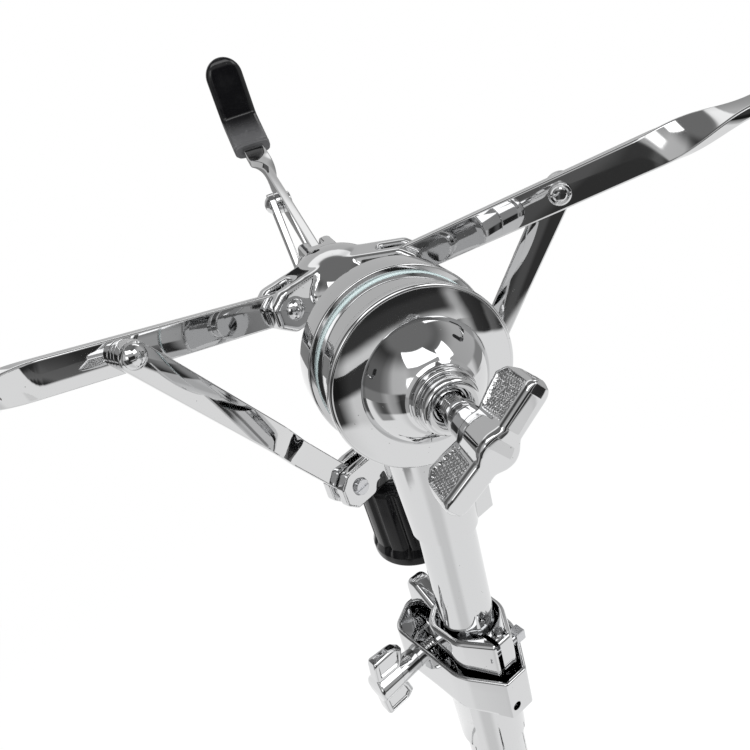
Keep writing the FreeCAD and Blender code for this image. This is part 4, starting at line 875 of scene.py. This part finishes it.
# Basket hub and shaft. A domed casting with three clevises for the arms, screwed on a steel shaft that turns
# in the bracket's sleeve. Domed rivets hold the arms.
basket_frame = tilter_frame @ shift(y=basket_back, z=11.0)
rounded("basket_hub", cast_chrome, "basket", 0.5, 34)
rounded("hub_pivot_rivets", cast_chrome, "basket", 0.3, 14)
plain_end = -46.0
shaft_line = eased(((0, 8), (6, 8, 0.4), (6, plain_end), (0, plain_end)), False)
shaft_grids = [spun(shaft_line, 64), thread(radius=6.0, depth=0.5, pitch=1.5, low=-128.0, high=plain_end)]
piece("basket_shaft", placed(shaft_grids, basket_frame), bright_steel, "basket")


# Basket arms. Flat strip with drawn edges, bent and twisted cold, then polished and plated. Each arm stands
# on edge at the hub, turns flat beyond its link and folds up at the tip, into a rubber boot pulled over it.
# Below 0.624 m the boot's seat gets a painted sheen, a satin grey in place of the light that falls on it.
rubber = moulded("glossy_rubber", "rubber", (0.003, 0.003, 0.0035), (0.008, 0.008, 0.0085),
                 rough=0.1, grain=350.0, relief=0.00002, sheen_below=0.624)
strip_half, strip_half_thick = 6.4, 2.1
arm_heading, arm_pivot, arm_rise, rivet_reach = 87.2, 29.0, 13.8, 67.5
twist_start, twist_run, fold_start, fold_radius = 95.0, 38.0, 150.0, 7.0
folds = ((24.0, 20.5), (52.0, 28.5))
tip_pitch = folds[0][0] + folds[1][0]


def arm_path():
    """Stations along an arm: distance out, height, pitch and roll, in millimetres and degrees.

    The roll follows 3p^2 - 2p^3 of the way p through the twist; each fold is a run of short chords.
    """
    heel = -strip_half * np.cos(quarter(9))
    reach = np.concatenate([heel, np.linspace(6.0, twist_start, 12), np.linspace(96.5, 133.0, 40),
                            (140.0, 147.0, fold_start)])
    part = np.clip((reach - twist_start) / twist_run, 0.0, 1.0)
    stations = [np.stack([reach, 0 * reach, 0 * reach, -90.0 * smooth(part)], axis=-1)]
    spot, pitch, steps = np.array((fold_start, 0.0)), 0.0, 10
    for bend, run in folds:
        pitches = pitch + bend * np.arange(1, steps + 1) / steps
        middle = np.radians(pitches - 0.5 * bend / steps)
        chord = 2.0 * fold_radius * math.sin(math.radians(bend / steps) / 2.0)
        curve = spot + np.cumsum(chord * np.stack([np.cos(middle), np.sin(middle)], axis=-1), axis=0)
        pitch += bend
        straight = curve[-1] + np.linspace(0.0, run, 14)[1:, None] * cos_sin(pitch)
        line = np.vstack([curve, straight])
        tilt = np.concatenate([pitches, np.full(len(straight), pitch)])
        stations.append(np.column_stack([line, tilt, np.full(len(line), -90.0)]))
        spot = straight[-1]
    return np.vstack(stations)


def carried(stations, outlines):
    """Carries an outline (thickness, width) along stations, and closes both ends on their middles.

    At each station the outline is rolled about the path, pitched up by the path's slope and moved there.
    """
    pitch, roll = np.radians(stations[:, 2]), np.radians(stations[:, 3])
    wide, tall = outlines[..., 0], outlines[..., 1]
    side = wide * np.cos(roll)[:, None] - tall * np.sin(roll)[:, None]
    rise = wide * np.sin(roll)[:, None] + tall * np.cos(roll)[:, None]
    x = stations[:, :1] - rise * np.sin(pitch)[:, None]
    z = stations[:, 1:2] + rise * np.cos(pitch)[:, None]
    return closed_ends(grid_of(x, side, z))


def scaled(outline, wider):
    """An outline at each station, with its width scaled there."""
    thick = np.broadcast_to(outline[:, 0], (len(wider), len(outline)))
    return np.stack([thick, outline[:, 1] * wider[:, None]], axis=-1)


path = arm_path()
tip_drop = np.linalg.norm(path[:, :2] - path[-1, :2], axis=1)
arm_heel = np.sqrt(np.clip(1.0 - np.clip(-path[:, 0] / strip_half, 0.0, 1.0) ** 2, 0.01, 1.0))
near_tip = (path[:, 2] > tip_pitch - 0.1) & (tip_drop < strip_half)
tail = np.sqrt(np.clip(1.0 - (1.0 - tip_drop / strip_half) ** 2, 0.02, 1.0))
arm_rings = scaled(bar(strip_half_thick, strip_half, 0.8, 5), arm_heel * np.where(near_tip, tail, 1.0))

boot_half, boot_half_thick, boot_mouth, crown_rows = 11.2, 4.3, 147.0, 14
crown_part = np.sin(quarter(crown_rows))
crown_base = path[-1, :2] - cos_sin(tip_pitch) * strip_half
crown_line = crown_base + cos_sin(tip_pitch) * (crown_part * boot_half)[:, None]
crown = np.column_stack([crown_line, np.full(crown_rows, tip_pitch), np.full(crown_rows, -90.0)])
in_boot = (np.arange(len(path)) >= np.argmax(path[:, 0] >= boot_mouth)) & (tip_drop > strip_half + 0.2)
boot_path = np.vstack([path[in_boot], crown])
full = np.ones(np.count_nonzero(in_boot))
boot_wide = boot_half * np.concatenate([full, np.sqrt(np.clip(1.0 - crown_part ** 2, 0.0004, 1.0))])
boot_deep = boot_half_thick * np.concatenate([full, np.sqrt(np.clip(1.0 - crown_part ** 4, 0.01, 1.0))])
boot_deep[:2] *= (0.82, 0.95)
boot_wide[:2] *= (0.93, 0.985)
corner = np.linspace(0.0, 2.0 * np.pi, 61)
super_x = np.sign(np.cos(corner)) * np.abs(np.cos(corner)) ** 0.55
super_y = np.sign(np.sin(corner)) * np.abs(np.sin(corner)) ** 0.42
boot_rings = np.stack([super_x * boot_deep[:, None], super_y * boot_wide[:, None]], axis=-1)

rivet_line = eased((
    (0, -3.9), (2.2, -3.6, 0.3), (2.7, -3.3, 0.2), (3.4, -3.6, 0.3), (4.2, -3.3, 0.4), (4.3, -2.1),
    (3.0, -2.1), (3.0, 2.1), (5.6, 2.1, 0.3), (5.6, 4.46, 0.3), (3.0, 4.46), (3.0, 8.04), (4.6, 8.04, 0.2),
    *on_circle(5.37, (4.6, 8.04), (0.0, 10.64))[1:]), False)


def spoke(number):
    """The frame of one of the basket's three arms, each a third of a turn after the last."""
    return basket_frame @ turn(2, arm_heading + 120.0 * (number - 1))


for number in (1, 2, 3):
    arm, place = f"arm_{number}", spoke(number) @ shift(x=arm_pivot) @ turn(1, -arm_rise)
    piece(f"basket_arm_{number}", [put(carried(path, arm_rings), place)], strip_chrome, arm)
    piece(f"arm_boot_{number}", [put(carried(boot_path, boot_rings), place)], rubber, arm, 60.0)
    rivet_place = place @ shift(x=rivet_reach) @ turn(0, -90.0)
    piece(f"link_rivet_{number}", [put(spun(rivet_line, 64), rivet_place)], cast_chrome, arm)


# Links. Pressed strip, polished and plated, from each arm down to the collar. It is cranked sideways below
# its middle so that the lower eye enters the collar's clevis, and hangs on the arm's rivet.
link_half, link_half_thick, eye_radius, spacer = 5.7, 1.75, 8.0, 2.4
collar_drop, collar_pivot = 89.5, 28.0
rivet_out, rivet_up = np.array((arm_pivot, 0.0)) + rivet_reach * cos_sin(arm_rise)
fall, run = rivet_up + collar_drop, collar_pivot - rivet_out
link_length = math.hypot(fall, run)
link_slope = math.degrees(math.atan2(fall, run))
crank = strip_half_thick + spacer + link_half_thick
reach = np.concatenate([
    -link_half * np.cos(quarter(12)), np.linspace(3.0, link_length - 9.0, 60),
    link_length + eye_radius * np.sin(np.linspace(-0.9, np.pi / 2, 18))])
cranked = smooth(np.clip((reach - link_length * 0.55) / (link_length * 0.19), 0.0, 1.0))
half_width = np.where(reach < 0, np.sqrt(np.clip(link_half ** 2 - reach ** 2, 0.09, None)), link_half)
eye_width = np.sqrt(np.clip(eye_radius ** 2 - (reach - link_length) ** 2, 0.04, None))
half_width = np.where(reach > link_length - 5.6, eye_width, half_width)
link_rings = scaled(bar(link_half_thick, link_half, 0.6, 4), half_width / link_half)
link_rings[..., 0] -= crank * cranked[:, None]
link_skin = carried(np.column_stack([reach, 0 * reach, 0 * reach, 0 * reach]), link_rings)
for number in (1, 2, 3):
    place = spoke(number) @ shift(x=rivet_out, y=crank, z=rivet_up) @ turn(1, link_slope)
    piece(f"arm_link_{number}", [put(link_skin, place)], strip_chrome, f"link_{number}")


# Lower collar, washer and nut. The cast collar slides on the shaft and takes the links in three clevises with
# slotted screws; the fluted black nut below it, with a steel insert, draws the arms up.
rounded("lower_collar", cast_chrome, "collar", 0.5, 16)
casting("collar_screws", bright_steel, "collar", 0.25)
casting("thrust_washer", bright_steel, "collar", 0.2)


def fluted(radius, flare, length, bore, count, depth, steps=288):
    """The nut's skin: rings down its length whose radius dips at each flute, and flares at the foot.

    The dip is depth times the square of a cosine wave, cut off where it turns negative.
    """
    foot = radius + flare
    line = eased(((bore, 0), (radius, 0, 2.4), (radius, -length + 9.0, 3.0), (foot, -length + 5.0, 2.0),
                  (foot, -length, 1.6), (bore, -length)), False, 8)
    deep = np.interp(line[:, 1], (-length + 4.0, -length + 9.0, -3.0, -0.5), (0.0, 1.0, 1.0, 0.55))
    deep = deep * np.clip((line[:, 0] - 12.0) / 6.0, 0.0, 1.0)
    angle = full_turn(steps)
    dip = np.clip(np.cos(count * angle), 0.0, None) ** 2
    return polar(line[:, 0] - depth * dip * deep, angle, line[:, 1])


collar_half, washer_thick, play = 9.5, 2.0, 0.4
nut_place = basket_frame @ shift(z=-collar_drop - collar_half - washer_thick - play)
nut_length, nut_bore = 44.0, 10.04
nut_outside = fluted(radius=21.0, flare=1.4, length=nut_length, bore=nut_bore, count=12, depth=1.7)
nut_inside = spun(np.array(((nut_bore, -nut_length), (nut_bore, 0.0))), 288)
piece("basket_nut", placed((nut_outside, nut_inside), nut_place), black_plastic, "nut")
casting("nut_insert", bright_steel, "nut", 0.3)


# Tripod. Three pressed channel legs hang from a sliding collar and are braced from a fixed collar at the foot
# of the lower tube; each ends in a moulded rubber foot. A wing screw locks the sliding collar.
leg_chrome = plated("chrome_on_pressing", "chrome", (0.58, 0.583, 0.588),
                    polish=0.24, smear=0.08, grain=40.0, relief=0.00003)
foot_rubber = moulded("matt_rubber", "rubber", (0.014, 0.014, 0.015), (0.035, 0.035, 0.036),
                      rough=0.42, grain=500.0, relief=0.00005, gloss=0.4)
casting("brace_collar", cast_chrome, "base", 0.5)
casting("brace_collar_pins", bright_steel, "base", 0.2)
casting("leg_collar", cast_chrome, "leg_collar", 0.5)
casting("leg_top_pins", bright_steel, "leg_collar", 0.2)
brace_level, collar_span, leg_angle = 45.0, 240.0, 48.0
leg_top = brace_level + collar_span * math.cos(math.radians(leg_angle))
screw_axis = shift(z=leg_top) @ turn(2, 210.0) @ shift(x=24.1) @ turn(1, 90.0)
leg_screw = clamp_wing + [thread(radius=3.4, depth=0.35, pitch=1.25, low=-10.0, high=0.2)]
piece("leg_collar_screw", placed(leg_screw, screw_axis), cast_chrome, "collar_wing")
for number in (1, 2, 3):
    leg = f"leg_{number}"
    casting(f"brace_{number}", leg_chrome, f"brace_{number}", 0.6)
    casting(leg, leg_chrome, leg, 0.5)
    casting(f"brace_pin_{number}", bright_steel, leg, 0.2)
    rounded(f"foot_{number}", foot_rubber, leg, 0.8, 12)
